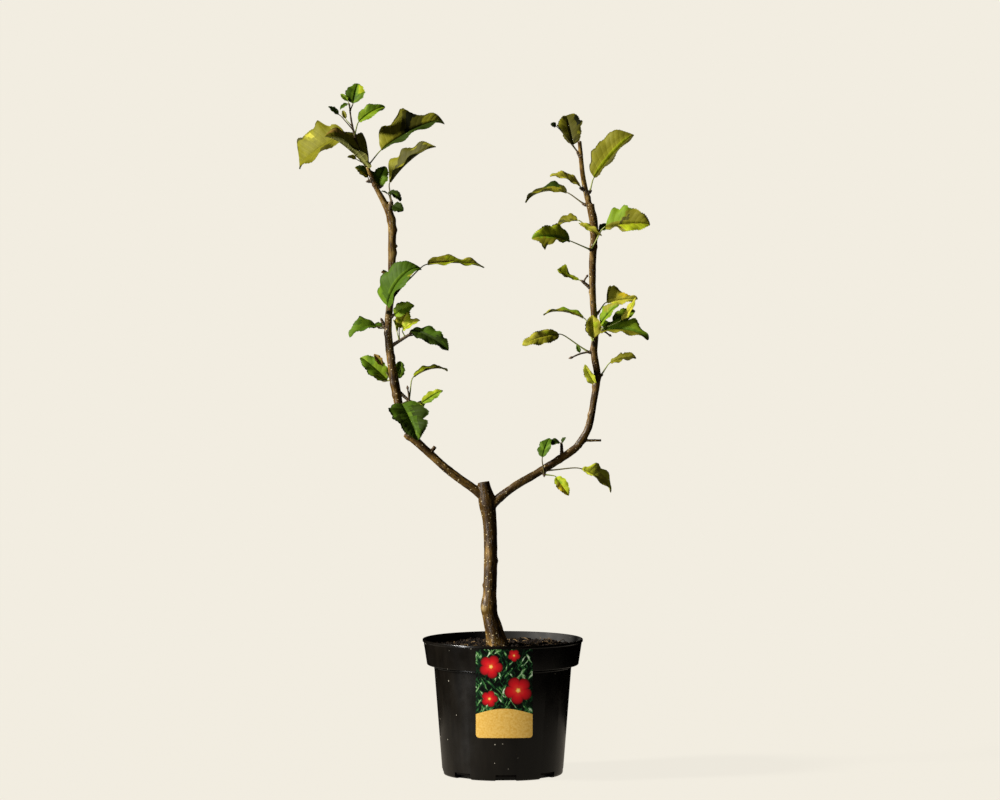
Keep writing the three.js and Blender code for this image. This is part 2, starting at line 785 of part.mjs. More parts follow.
// The compost fills the pot to its level. Its top is crumbly, and flat where the stem stands on it.
function compostGeometry() {
  const collarSlope = (lipInner - collarInnerFoot) / (POT_HEIGHT - ledgeTop - 1.8);
  const topRadius = collarInnerFoot + (SOIL_LEVEL - ledgeTop - 1) * collarSlope - GAP - 0.3;
  const radii = [SEAT_RADIUS, 52, 74, 95];
  const geometry = turnedSolid(
    [
      [0, FLOOR + GAP],
      [bodyInnerFoot - GAP - 0.2, FLOOR + GAP],
      [bodyInnerTop - GAP - 0.2, ledgeTop + GAP],
      [collarInnerFoot - GAP - 0.2, ledgeTop + 1 + 2 * GAP],
      [topRadius, SOIL_LEVEL - 1.5],
      ...radii.reverse().map((r) => [r, SOIL_LEVEL]),
      [0, SOIL_LEVEL],
    ],
    POT_SIDES,
  );
  const place = geometry.getAttribute("position");
  for (let i = 0; i < place.count; i++) {
    const [x, y, z] = [place.getX(i), place.getY(i), place.getZ(i)];
    const r = Math.hypot(x, y);
    if (z < SOIL_LEVEL - 0.1 || r < SEAT_RADIUS + 1) continue;
    const lumps = Math.sin(x * 0.13 + 1) * Math.cos(y * 0.17) + Math.sin(x * 0.31 - y * 0.23);
    place.setZ(i, z + SOIL_ROUGHNESS * lumps);
  }
  return geometryOf(manifoldFrom(geometry));
}

// The card: a bowed panel with rounded lower corners.
function cardSolid() {
  const half = CARD_WIDTH / 2;
  const front = -collarTopRadius - GAP - CARD_THICKNESS;
  const bow = (x) => front + (x * x) / (2 * CARD_BOW);
  const across = Array.from({ length: 9 }, (_, i) => half * (i / 4 - 1));
  const strip = new THREE.Shape([
    ...across.map((x) => new THREE.Vector2(x, bow(x))),
    ...across.reverse().map((x) => new THREE.Vector2(x, bow(x) + CARD_THICKNESS)),
  ]);
  const sheet = new THREE.ExtrudeGeometry(strip, { depth: CARD_TOP - CARD_FOOT, bevelEnabled: false });
  sheet.translate(0, 0, CARD_FOOT);
  const corner = (sign) => {
    const x = sign * (half - CARD_CORNER);
    const rod = new THREE.CylinderGeometry(CARD_CORNER, CARD_CORNER, 30, 24);
    rod.translate(x, front, CARD_FOOT + CARD_CORNER);
    const [low, high] = [Math.min(x, sign * (half + 1)), Math.max(x, sign * (half + 1))];
    const square = block([low, front - 10, CARD_FOOT - 1], [high, front + 10, CARD_FOOT + CARD_CORNER]);
    return square.subtract(manifoldFrom(rod));
  };
  return manifoldFrom(sheet).subtract(corner(-1)).subtract(corner(1));
}

const MATERIALS = {
  pot: new THREE.MeshStandardMaterial({ color: "#16140f", roughness: 0.42, metalness: 0 }),
  compost: new THREE.MeshStandardMaterial({ color: "#2a1d14", roughness: 1, metalness: 0 }),
  card: new THREE.MeshStandardMaterial({ color: "#c8a04a", roughness: 0.45, metalness: 0 }),
  bark: new THREE.MeshStandardMaterial({ color: "#5a4526", roughness: 0.85, metalness: 0 }),
  leaf: new THREE.MeshStandardMaterial({ color: "#5d7d1e", roughness: 0.6, metalness: 0 }),
};

const tree = new THREE.Group();

function addPiece(name, geometry, material) {
  const mesh = new THREE.Mesh(geometry, MATERIALS[material]);
  mesh.name = name;
  tree.add(mesh);
}

addPiece("pot", geometryOf(potSolid()), "pot");
addPiece("compost", compostGeometry(), "compost");
addPiece("picture_card", geometryOf(cardSolid()).translate(CARD_X, 0, 0), "card");

const trunkRoom = limbSolid(TRUNK, GAP);
const leftRoom = armSolid(LEFT_LOWER, LEFT_LOWER_SNAGS, GAP);
const ground = block([-60, -60, SOIL_LEVEL - 60], [60, 60, SOIL_LEVEL + GAP]);
const limbs = {
  trunk: limbSolid(TRUNK).subtract(ground),
  bough_left_lower: armSolid(LEFT_LOWER, LEFT_LOWER_SNAGS).subtract(trunkRoom),
  bough_left_upper: armSolid(LEFT_UPPER, LEFT_SNAGS).subtract(leftRoom),
  bough_right_lower: limbSolid(RIGHT_LOWER).subtract(trunkRoom),
  bough_right_upper: armSolid(RIGHT_UPPER, RIGHT_SNAGS).subtract(armSolid(RIGHT_LOWER, [], GAP)),
};
for (const [name, solid] of Object.entries(limbs)) addPiece(name, geometryOf(solid), "bark");

const clearance = [
  trunkRoom,
  leftRoom,
  armSolid(LEFT_UPPER, LEFT_SNAGS, GAP),
  armSolid(RIGHT_LOWER, [], GAP),
  armSolid(RIGHT_UPPER, RIGHT_SNAGS, GAP),
].reduce((all, limb) => all.add(limb));
for (const spray of SPRAYS) addPiece(spray.name, geometryOf(spraySolid(spray, clearance)), "leaf");

export default tree;
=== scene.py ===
# A young apple tree trained flat as a U, with two rising arms, in a black nursery pot with a picture card.
# The limbs, spurs and leaves follow the same rules as the solids that they stand for, carried on to bark,
# buds, toothed margins and veins. Sizes are in millimetres and become metres where a mesh is made.

import collections
import functools
import math
import random

import bmesh
import bpy
import numpy as np
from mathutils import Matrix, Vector, noise


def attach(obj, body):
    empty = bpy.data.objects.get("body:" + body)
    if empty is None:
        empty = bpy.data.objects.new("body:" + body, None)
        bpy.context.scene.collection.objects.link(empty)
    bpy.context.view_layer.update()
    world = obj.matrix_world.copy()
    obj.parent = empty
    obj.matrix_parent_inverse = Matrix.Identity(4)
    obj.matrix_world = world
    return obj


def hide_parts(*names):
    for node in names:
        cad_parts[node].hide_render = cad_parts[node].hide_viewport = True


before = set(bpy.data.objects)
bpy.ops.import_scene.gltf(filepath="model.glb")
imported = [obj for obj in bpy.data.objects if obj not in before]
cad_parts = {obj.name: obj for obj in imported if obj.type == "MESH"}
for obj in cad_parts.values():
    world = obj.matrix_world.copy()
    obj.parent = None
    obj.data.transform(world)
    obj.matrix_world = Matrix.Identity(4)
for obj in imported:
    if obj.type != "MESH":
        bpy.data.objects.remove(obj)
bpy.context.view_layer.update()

MM = 0.001

UP = np.array([0.0, 0.0, 1.0])
FRONT = np.array([0.0, -1.0, 0.0])
RIGHT = np.array([1.0, 0.0, 0.0])

# Limbs: points of the middle line, x, y and z, with the radius at each. A place on a limb is looked up in
# PLACE_STEPS steps, and its tube is drawn with TUBE_STEPS points.
PLACE_STEPS = 601
TUBE_STEPS = 90
SOIL_LEVEL = 186.0
TRUNK = [
    (-6, 0, SOIL_LEVEL - 8, 16.5), (-12.5, 0, 209, 13), (-18.6, 0, 232, 11.4), (-20, 0, 243, 11.8),
    (-18.8, 0, 264, 9.8), (-17.6, 1, 318, 9.7), (-18.6, 1, 362, 10), (-22.5, 0, 395, 11.8),
    (-28, 0, 425, 8.6),
]
LEFT_LOWER = [
    (-24, 0, 402, 8.2), (-47.6, -1, 419, 6.3), (-78, -2, 441.5, 5.9), (-108.6, -1, 468.6, 5.8),
    (-131, 0, 489, 6.4), (-141, 0, 496, 5.6),
]
LEFT_UPPER = [
    (-128, 0, 488, 6), (-146.5, -2, 522, 6.2), (-156, -3, 566, 6.8), (-163.5, 0, 615, 6), (-166, 2, 652, 5.4),
    (-162, 3, 700, 5), (-160.5, 1, 760, 5.7), (-161.5, -1, 806, 6.1), (-172, -1, 831, 4.6),
    (-184, 0, 853, 3.6), (-196, 0, 882, 2.9),
]
RIGHT_LOWER = [
    (-22, 0, 386, 8), (-6, -1, 401, 6.6), (13.3, -2, 416, 5.8), (54, -3, 440.7, 5.7), (94.8, -1, 466, 5.6),
    (108, 0, 476, 5.6),
]
RIGHT_UPPER = [
    (108.3, 0, 476.2, 5.6), (124, 0, 503, 5.3), (132, 1, 543, 4.9), (137, 2, 579, 5.1), (132.5, 2, 612, 5.1),
    (134, 0, 640, 4.8), (130.6, -2, 690, 4.7), (130, -2, 742, 5.2), (132.2, -1, 784, 5.3),
    (130.5, 0, 808, 6.2), (122, 1, 838, 4), (115.5, 0, 872, 3.6), (111, 0, 919, 3.1),
]
LIMBS = [TRUNK, LEFT_LOWER, LEFT_UPPER, RIGHT_LOWER, RIGHT_UPPER]

# Pruned snags on a limb: axis and value of the place, angle from +X, length from the middle line and radius.
Snag = collections.namedtuple("Snag", "on axis at aim length radius")
SNAGS = [
    Snag(LEFT_LOWER, "across", -106, 52, 13, 2.6),
    Snag(LEFT_UPPER, "height", 722, 150, 17, 1.9),
    Snag(LEFT_UPPER, "height", 762, 48, 10, 3.2),
    Snag(LEFT_UPPER, "height", 812, 86, 19, 3.9),
    Snag(RIGHT_UPPER, "height", 485, 1, 29, 1.9),
    Snag(RIGHT_UPPER, "height", 806, 97, 22, 4.3),
]

# Swellings of a limb: its place, the angle round the limb from the front towards +X, how far they reach
# along it and round it, and how far they stand out. A reach round of 0 is a ring.
Knot = collections.namedtuple("Knot", "on axis at round long wide out")
KNOTS = [
    Knot(TRUNK, "height", 243, -40, 7, 6, 1.6),
    Knot(TRUNK, "height", 252, 0, 3, 0, 0.5),
    Knot(TRUNK, "height", 310, 95, 4, 4, 1.8),
    Knot(TRUNK, "height", 275, -95, 3.5, 4, 1.5),
    Knot(TRUNK, "height", 344, 40, 4, 4, 0.8),
    Knot(TRUNK, "height", 397, 0, 10, 0, 0.8),
    Knot(LEFT_LOWER, "across", -60, 170, 4, 4, 1.0),
    Knot(LEFT_LOWER, "across", -84, 20, 4, 4, 0.9),
    Knot(LEFT_LOWER, "across", -136, 0, 4, 0, 1.1),
    Knot(LEFT_UPPER, "height", 552, 0, 3, 0, 0.7),
    Knot(LEFT_UPPER, "height", 567, -30, 5, 6, 1.9),
    Knot(LEFT_UPPER, "height", 606, 60, 4, 4, 1.2),
    Knot(LEFT_UPPER, "height", 641, -60, 4, 4, 1.4),
    Knot(LEFT_UPPER, "height", 690, 70, 4, 4, 1.0),
    Knot(LEFT_UPPER, "height", 760, 80, 6, 4, 1.8),
    Knot(LEFT_UPPER, "height", 789, 75, 4, 4, 1.8),
    Knot(LEFT_UPPER, "height", 804, 0, 4, 0, 0.8),
    Knot(LEFT_UPPER, "height", 855, 0, 2, 0, 0.8),
    Knot(RIGHT_LOWER, "across", 40, 190, 4, 4, 1.2),
    Knot(RIGHT_LOWER, "across", 62, 0, 3, 4, 1.4),
    Knot(RIGHT_LOWER, "across", 82, 0, 3, 0, 0.6),
    Knot(RIGHT_UPPER, "height", 486, 90, 4, 4, 1.2),
    Knot(RIGHT_UPPER, "height", 522, -60, 4, 4, 1.2),
    Knot(RIGHT_UPPER, "height", 561, -80, 4, 4, 1.6),
    Knot(RIGHT_UPPER, "height", 579, 90, 4, 4, 1.2),
    Knot(RIGHT_UPPER, "height", 616, -80, 4, 4, 1.4),
    Knot(RIGHT_UPPER, "height", 646, 60, 5, 5, 1.4),
    Knot(RIGHT_UPPER, "height", 704, -80, 4, 4, 1.2),
    Knot(RIGHT_UPPER, "height", 764, 0, 3, 0, 0.8),
    Knot(RIGHT_UPPER, "height", 790, 0, 8, 0, 0.9),
    Knot(RIGHT_UPPER, "height", 838, 80, 4, 4, 1.3),
    Knot(RIGHT_UPPER, "height", 897, -70, 3, 3, 0.9),
]

# Leaf colours: the upper side, the downy underside, the side veins and the midrib, as sRGB hex.
TINTS = {
    "dark": ("#2b3a0a", "#58642a", "#364711", "#80883e"),
    "deep": ("#3d560c", "#64732f", "#496214", "#959a4c"),
    "mid": ("#526d10", "#76833a", "#5e7a1b", "#a9ae58"),
    "fresh": ("#6a8214", "#869240", "#789022", "#bcc068"),
    "bright": ("#949f18", "#a8ac4a", "#a2ac2e", "#d6d684"),
    "olive": ("#716e16", "#898947", "#7e7c25", "#beb970"),
    # shade: the olive darkened, painted shade on leaves and halves that lie in shade.
    "shade": ("#45430f", "#5f5e29", "#535118", "#a9a35f"),
    "pale": ("#a7a133", "#b0ab5e", "#b3ad46", "#e0da92"),
    "gold": ("#c2ab20", "#b6aa52", "#c8b338", "#e3d884"),
    "tan": ("#8f7434", "#9b8450", "#98803f", "#b8a06c"),
    # black: painted shade on parts of blades that lie in deep shade, and also the burnt tips of leaves.
    "black": ("#171908", "#3a3c1c", "#1d200c", "#5c5a34"),
    "straw": ("#7d7a1b", "#97944a", "#9c9834", "#cfca82"),
    # lemon: painted light, the brightest yellow-green, which makes leaves turned from the sun look sunlit.
    "lemon": ("#c3c838", "#bcbe5c", "#cdd250", "#e8e8a0"),
}
# The tint of the random blotches on a leaf of each tint.
NEIGHBOUR = {
    "dark": "deep", "deep": "mid", "mid": "deep", "fresh": "mid", "bright": "fresh", "olive": "shade",
    "shade": "olive", "pale": "bright", "gold": "pale", "tan": "olive", "black": "dark", "straw": "pale",
    "lemon": "pale",
}
# The words that name one half of a blade, with the direction that this half points to.
SIDES = {"high": UP, "low": -UP, "right": RIGHT, "left": -RIGHT}

# Spurs and leaves. An aim is an angle from +X in the plane of the tree, a lean is the angle out of that
# plane towards the front, an arch is the angle that a blade bends through towards its underside, and a face
# is the turn of its upper side from the sky, 0, to the front, 90. A stalk has a length, an aim and, where
# it isn't half the blade's, a lean. The blade is its length, the breadth a share of that, the fold the angle
# that each half rises by, and curl the angle that the tip turns down by. spring is the share of the spur's
# length where a leaf grows. An ear is where one half or both swell, or with a minus sign shrink: its side,
# its place and spread as shares of the length, its size, and its lift out of the blade. A patch is another
# tint on one side or both, between two shares of the length, from a share of the breadth out.
Stem = collections.namedtuple("Stem", "aim lean length arch radius tip", defaults=(0, 2.6, 2.1))
Ear = collections.namedtuple("Ear", "side at spread grow lift", defaults=(0,))
Patch = collections.namedtuple("Patch", "tint side start end reach", defaults=(0, 1, 0))
Leaf = collections.namedtuple(
    "Leaf",
    "tint stalk aim lean blade arch face fold breadth spring curl ears patches",
    defaults=(24, 0.52, 0.9, 25, (), ()),
)
Twig = collections.namedtuple("Twig", "length aim lean")
Spray = collections.namedtuple("Spray", "name on axis at stem grows")
# Beside the leaves' own colours, the tints and patches below hold painted light and shade, set leaf by leaf:
# leaves in the shadow of a limb and leaves turned from the sun have paler tints than their own, painted
# light, and darker patches on halves turned from the sun are painted shade. Brown edges, yellow spots and
# burnt tips are the leaves' own marks.
SPRAYS = [
    Spray("left_1", LEFT_UPPER, "height", 560, Stem(aim=-41, lean=8, length=28), [
        Leaf(
            "deep", stalk=(11, 208, 20), aim=-64, lean=50, blade=83, arch=24, face=10, breadth=0.74,
            patches=[Patch("dark", "right", 0.1, 0.8, 0.4), Patch("dark", "left", 0.3, 1, 0.6)],
            ears=[Ear("right", 0.62, 0.07, -0.3), Ear("right", 0.3, 0.12, -0.2)],
        ),
        Leaf(
            "fresh", stalk=(19, -10), aim=32, lean=0, blade=36, arch=8, face=56, fold=14, breadth=0.46,
            patches=[Patch("bright", "high", reach=0.3)],
        ),
        Leaf("bright", stalk=(15, -50, 40), aim=3, lean=8, blade=15, arch=16, face=60, breadth=0.6),
        Leaf(
            "bright", stalk=(36, 78), aim=11, lean=-20, blade=56, arch=56, face=10, fold=20, breadth=0.42,
            patches=[Patch("shade", "low")],
        ),
        Leaf("mid", stalk=(8, -60), aim=-62, lean=-70, blade=60, arch=30, face=0),
        Twig(20, 96, -6),
    ]),
    Spray("left_2", LEFT_UPPER, "height", 572, Stem(aim=168, lean=-62, length=13), [
        Leaf(
            "fresh", stalk=(6, 180, -20), aim=139, lean=-12, blade=53, arch=20, face=56, breadth=0.6,
            patches=[Patch("mid", "low", 0.2, 1, 0.3)],
        ),
        Leaf("tan", stalk=(26, 122, -10), aim=124, lean=-10, blade=20, arch=10, face=50, breadth=0.6),
        Leaf("mid", stalk=(10, 12, -30), aim=78, lean=-10, blade=27, arch=20, face=62, breadth=0.7),
        Leaf("mid", stalk=(14, 190), aim=150, lean=-66, blade=60, arch=30, face=0),
    ]),
    Spray("left_3", LEFT_UPPER, "height", 621, Stem(aim=32, lean=4, length=37), [
        Leaf(
            "dark", stalk=(9, 59), aim=-27, lean=22, blade=66, arch=26, face=36, fold=20, breadth=0.5,
            patches=[Patch("deep", "high", 0, 0.5, 0.3), Patch("fresh", "both", 0.93)],
            ears=[Ear("high", 0.16, 0.07, -0.35), Ear("high", 0.8, 0.06, 0.3)],
        ),
        Leaf(
            "pale", stalk=(11, 109), aim=32, lean=12, blade=30, arch=16, face=44, breadth=0.66, spring=0.72,
            patches=[Patch("bright", "low", reach=0.2)],
        ),
        Leaf(
            "pale", stalk=(19, 88), aim=66, lean=-8, blade=30, arch=10, face=56, breadth=0.8, spring=0.45,
            patches=[Patch("bright", "low", reach=0.4)],
        ),
        Leaf("bright", stalk=(14, 103), aim=106, lean=8, blade=19, arch=20, face=50, spring=0.45),
        Leaf("mid", stalk=(12, 10), aim=-14, lean=-66, blade=56, arch=34, face=0, spring=0.8),
    ]),
    Spray("left_4", LEFT_UPPER, "height", 640, Stem(aim=116, lean=4, length=22), [
        Leaf(
            "mid", stalk=(13, 178), aim=200, lean=12, blade=46, arch=70, face=34, fold=26, breadth=0.66,
            spring=0.5,
            patches=[Patch("deep", "low", 0.1, 0.8, 0.3)],
            ears=[Ear("high", 0.4, 0.1, 0.3, 0.1)],
        ),
        Leaf("dark", stalk=(12, 180), aim=176, lean=-70, blade=46, arch=30, face=0, spring=0.4),
    ]),
    Spray("left_5", LEFT_UPPER, "height", 661, Stem(aim=40, lean=16, length=10), [
        Leaf(
            "fresh", stalk=(2, 45), aim=25, lean=14, blade=34, arch=30, face=70, breadth=0.7,
            patches=[Patch("mid", "low", 0.3, 1, 0.2)],
        ),
    ]),
    Spray("left_6", LEFT_UPPER, "height", 671, Stem(aim=180, lean=74, length=11), [
        Leaf(
            "mid", stalk=(9, 84), aim=52, lean=8, blade=84, arch=70, face=50, fold=22, breadth=0.72,
            curl=50,
            patches=[
                Patch("deep", "right", reach=0.2), Patch("olive", "right", 0.44, 0.5, 0.86),
                Patch("deep", "left", 0.1, 1, 0.3),
            ],
            ears=[
                Ear("right", 0.35, 0.2, -0.35), Ear("left", 0.08, 0.1, 0.4), Ear("left", 0.32, 0.12, -0.1),
            ],
        ),
    ]),
    Spray("left_7", LEFT_UPPER, "height", 690, Stem(aim=50, lean=-10, length=29), [
        Leaf(
            "pale", stalk=(49, 40, -8), aim=-3, lean=-20, blade=89, arch=26, face=18, fold=14, breadth=0.46,
            curl=4,
            patches=[Patch("olive", "high", 0, 0.25, 0.5), Patch("bright", "low", 0.1, 1, 0.3)],
            ears=[
                Ear("high", 0.16, 0.12, 0.3), Ear("high", 0.62, 0.06, -0.2), Ear("high", 0.88, 0.1, 0.6),
                Ear("low", 0.4, 0.3, -0.35),
            ],
        ),
        Leaf("dark", stalk=(12, 120), aim=150, lean=-72, blade=60, arch=30, face=0, spring=0.8),
    ]),
    Spray("left_8", LEFT_UPPER, "height", 816, Stem(aim=76, lean=34, length=19), [
        Leaf(
            "shade", stalk=(30, 93, 4), aim=40, lean=16, blade=89, arch=30, face=34, fold=32,
            patches=[
                Patch("olive", "high", 0, 0.2, 0.4), Patch("olive", "high", 0.66, 0.9, 0.6),
                Patch("black", "both", 0.97),
            ],
            ears=[Ear("high", 0.22, 0.12, 0.45), Ear("high", 0.4, 0.05, -0.1)],
        ),
        Leaf("dark", stalk=(16, 101), aim=-38, lean=14, blade=24, arch=64, face=36, breadth=0.62),
        Leaf("dark", stalk=(14, 111), aim=155, lean=10, blade=10, arch=20, face=24),
        Leaf("dark", stalk=(5, -62, 10), aim=-25, lean=16, blade=18, arch=16, face=62, breadth=1),
    ]),
    Spray("left_9", LEFT_UPPER, "height", 851, Stem(aim=20, lean=-12, length=8), [
        Leaf(
            "deep", stalk=(7, 183), aim=66, lean=-12, blade=34, arch=20, face=62, fold=20, breadth=0.72,
            patches=[Patch("mid", "right", reach=0.3)],
        ),
        Leaf("mid", stalk=(10, 120), aim=110, lean=-74, blade=52, arch=26, face=0),
    ]),
    Spray("left_10", LEFT_UPPER, "height", 862, Stem(aim=190, lean=10, length=7), [
        Leaf(
            "straw", stalk=(6, 100), aim=140, lean=6, blade=24, arch=20, face=46, breadth=0.85,
            patches=[Patch("dark", "right", reach=0.1)],
        ),
    ]),
    Spray("left_tip", LEFT_UPPER, "height", 882, Stem(
        aim=106, lean=-4, length=95, arch=-26, radius=2.3, tip=1,
    ), [
        Leaf(
            "olive", stalk=(7, -65), aim=140, lean=22, blade=83, arch=22, face=26, breadth=1, spring=0.06,
            patches=[Patch("shade", "low", reach=0.5), Patch("tan", "high", 0.5, 1, 0.6)],
            ears=[Ear("high", 0.18, 0.18, 0.9)],
        ),
        Leaf(
            "olive", stalk=(32, 50, -4), aim=27, lean=-14, blade=107, arch=28, face=26, fold=27,
            breadth=0.6, spring=0, curl=40,
            patches=[
                # The shade and black patches on the high half, from a third to six tenths of the length, are
                # painted shade; the black tip is a burnt tip.
                Patch("straw", "high", 0, 0.33), Patch("shade", "high", 0.33, 0.6),
                Patch("black", "high", 0.38, 0.46), Patch("straw", "high", 0.66, 0.85, 0.3),
                Patch("dark", "low"), Patch("black", "both", 0.96),
            ],
            ears=[
                Ear("high", 0.1, 0.08, 0.2), Ear("high", 0.24, 0.08, 0.1),
                Ear("high", 0.54, 0.06, 0.35, 0.05), Ear("high", 0.7, 0.08, -0.1),
            ],
        ),
        Leaf(
            "olive", stalk=(22, 145, -24), aim=214, lean=-18, blade=90, arch=44, face=50, breadth=0.76,
            spring=0.4, curl=10,
            patches=[Patch("pale", "high", 0.34, 0.42, 0.7), Patch("black", "both", 0.98)],
            ears=[
                Ear("high", 0.36, 0.05, 0.2), Ear("high", 0.58, 0.14, 0.1), Ear("high", 0.88, 0.2, 0.9),
                Ear("low", 0.74, 0.24, 0.7),
            ],
        ),
        Leaf(
            "fresh", stalk=(20, 72), aim=31, lean=-6, blade=46, arch=44, face=48, breadth=0.54, spring=0.52,
            patches=[Patch("mid", "high", 0.3, 1, 0.3)],
        ),
        Leaf(
            "deep", stalk=(31, 133), aim=141, lean=12, blade=19, arch=-14, face=46, breadth=0.7, spring=0.6,
        ),
        Leaf("olive", stalk=(16, 130), aim=110, lean=-20, blade=14, arch=20, face=40, spring=0.64),
        Leaf(
            "mid", stalk=(12, 68), aim=78, lean=-30, blade=36, arch=16, face=6, fold=16, breadth=0.8,
            patches=[Patch("bright", "right", 0.3, 0.8, 0.45), Patch("deep", "left", 0, 0.5, 0.5)],
            ears=[Ear("right", 0.42, 0.25, 0.1)],
        ),
        Leaf("deep", stalk=(4, 131), aim=216, lean=14, blade=15, arch=40, face=44, spring=0.97),
        Leaf("fresh", stalk=(10, 108), aim=135, lean=-20, blade=16, arch=10, face=44, spring=0.94),
        Leaf("mid", stalk=(12, 150), aim=138, lean=-60, blade=66, arch=34, face=0, spring=0.22),
        Leaf(
            "straw", stalk=(18, 150, -14), aim=165, lean=-10, blade=14, arch=40, face=40, breadth=0.7,
            spring=0.02,
        ),
    ]),
    Spray("right_1", RIGHT_LOWER, "across", 60, Stem(aim=-90, lean=30, length=10), [
        Leaf(
            "deep", stalk=(26, 96, 14), aim=70, lean=-24, blade=33, arch=20, face=4, fold=18, breadth=0.66,
        ),
        Leaf(
            # Painted light: the lemon tint brightens this leaf, which is turned away from the sun.
            "lemon", stalk=(55, 3, 6), aim=-37, lean=-12, blade=59, arch=44, face=40, fold=20, breadth=0.74,
            spring=0.3,
            patches=[Patch("pale", "low", 0.2, 1, 0.3)],
            ears=[Ear("both", 0.1, 0.12, -0.4), Ear("low", 0.36, 0.2, -0.35)],
        ),
        Leaf(
            "bright", stalk=(18, -12, 10), aim=-55, lean=20, blade=34, arch=16, face=50, breadth=0.56,
            patches=[Patch("gold", "left", 0.2), Patch("tan", "both", 0.72, 0.78, 0.6)],
        ),
    ]),
    Spray("right_2", RIGHT_LOWER, "across", 86, Stem(aim=92, lean=-10, length=19), [
        Leaf("dark", stalk=(6, 117), aim=193, lean=10, blade=20, arch=60, face=40, breadth=0.7),
        Leaf("dark", stalk=(5, 83), aim=55, lean=16, blade=10, arch=20, face=54, breadth=0.9),
    ]),
    Spray("right_3", RIGHT_UPPER, "height", 566, Stem(aim=228, lean=34, length=3), [
        # Painted light: the lemon tint, brighter than the leaf's own green, stands in for the light on it.
        Leaf("lemon", stalk=(2, 100), aim=119, lean=10, blade=34, arch=20, face=135, breadth=0.46),
    ]),
    Spray("right_4", RIGHT_UPPER, "height", 577, Stem(aim=24, lean=6, length=6), [
        Leaf(
            "olive", stalk=(24, 54), aim=12, lean=8, blade=40, arch=40, face=36, fold=20, breadth=0.6,
            patches=[Patch("shade", "low", 0.3)],
            ears=[Ear("both", 0.52, 0.06, -0.5), Ear("high", 0.22, 0.14, -0.6)],
        ),
    ]),
    Spray("right_5", RIGHT_UPPER, "height", 613, Stem(aim=177, lean=14, length=9), [
        Leaf(
            "pale", stalk=(51, 149, 6), aim=194, lean=26, blade=64, arch=36, face=64, fold=8, breadth=0.35,
            curl=60,
            # Painted light and shade: the pale tint lightens the half towards the sky, which lies in shade,
            # and the darker straw is painted shade on the half towards the ground, which is in full sun.
            patches=[Patch("straw", "low")],
        ),
        Leaf("mid", stalk=(13, 184), aim=112, lean=-16, blade=13, arch=10, face=50),
        Twig(29, 198, 4),
    ]),
    Spray("right_6", RIGHT_UPPER, "height", 622, Stem(aim=110, lean=60, length=13), [
        Leaf(
            "pale", stalk=(9, 86, 36), aim=93, lean=-12, blade=34, arch=16, face=4, fold=14, breadth=0.72,
            patches=[Patch("straw", "left", 0.2, 0.8, 0.5)],
        ),
        Leaf(
            "olive", stalk=(42, 111, -24), aim=174, lean=-20, blade=65, arch=46, face=10, fold=18,
            breadth=0.36,
            patches=[Patch("fresh", "high", 0, 0.5, 0.3), Patch("pale", "high", 0.6, 0.9, 0.6)],
        ),
    ]),
    Spray("right_7", RIGHT_UPPER, "height", 640, Stem(aim=40, lean=8, length=10), [
        Leaf(
            "mid", stalk=(3, -47, 20), aim=-6, lean=22, blade=78, arch=46, face=34, fold=22, breadth=0.6,
            curl=40,
            patches=[
                Patch("olive", "low", reach=0.3), Patch("fresh", "high", 0.3, 0.8, 0.3),
                Patch("dark", "both", 0.97),
            ],
            ears=[Ear("low", 0.35, 0.2, -0.45), Ear("high", 0.85, 0.14, -0.4)],
        ),
        Leaf(
            "fresh", stalk=(10, 82, 26), aim=50, lean=25, blade=42, arch=16, face=56, breadth=0.72,
            patches=[Patch("straw", "left", 0.3, 1, 0.4)],
        ),
        Leaf(
            "pale", stalk=(37, 26, 22), aim=60, lean=30, blade=44, arch=-34, face=78, fold=12, breadth=0.32,
            patches=[Patch("straw", "both", 0.5, 1, 0.6)],
        ),
        Leaf("fresh", stalk=(22, 32), aim=27, lean=-4, blade=37, arch=20, face=70, breadth=0.6),
        Twig(22, -29, 38),
        Leaf("mid", stalk=(10, 20), aim=2, lean=-70, blade=62, arch=30, face=0),
    ]),
    Spray("right_8", RIGHT_UPPER, "height", 666, Stem(aim=40, lean=4, length=8), [
        Leaf(
            "pale", stalk=(21, 49, -22), aim=8, lean=6, blade=46, arch=16, face=52, fold=30, breadth=0.66,
            patches=[Patch("straw", "high", 0, 0.3, 0.3), Patch("gold", "high", 0.3, 0.6, 0.4)],
            ears=[
                Ear("high", 0.1, 0.14, 1), Ear("high", 0.3, 0.14, 0.4), Ear("high", 0.7, 0.16, -0.5),
                Ear("low", 0.12, 0.16, -0.6),
            ],
        ),
    ]),
    Spray("right_9", RIGHT_UPPER, "height", 704, Stem(aim=140, lean=6, length=19), [
        Leaf(
            "bright", stalk=(8, 151), aim=152, lean=4, blade=35, arch=-40, face=44, fold=20, breadth=0.44,
            ears=[Ear("high", 0.82, 0.16, 2.2), Ear("low", 0.85, 0.12, 1), Ear("both", 0.3, 0.2, -0.5)],
        ),
        Twig(11, 61, 0),
    ]),
    Spray("right_10", RIGHT_UPPER, "height", 763, Stem(aim=200, lean=62, length=10), [
        Leaf(
            "fresh", stalk=(34, 157), aim=175, lean=22, blade=61, arch=40, face=58, fold=26, breadth=0.64,
            patches=[Patch("olive", "low", 0.15, 1, 0.2), Patch("bright", "high", 0.1, 0.7, 0.3)],
            ears=[
                Ear("low", 0.74, 0.06, 0.8, -0.2), Ear("low", 0.38, 0.14, -0.75),
                Ear("low", 0.12, 0.14, -0.6),
            ],
        ),
        Leaf(
            "olive", stalk=(40, 57, 8), aim=5, lean=20, blade=68, arch=22, face=54, breadth=0.78, curl=30,
            patches=[
                Patch("fresh", "high", 0, 0.35, 0.3), Patch("bright", "low", 0.3, 1, 0.2),
                Patch("shade", "both", 0.97),
            ],
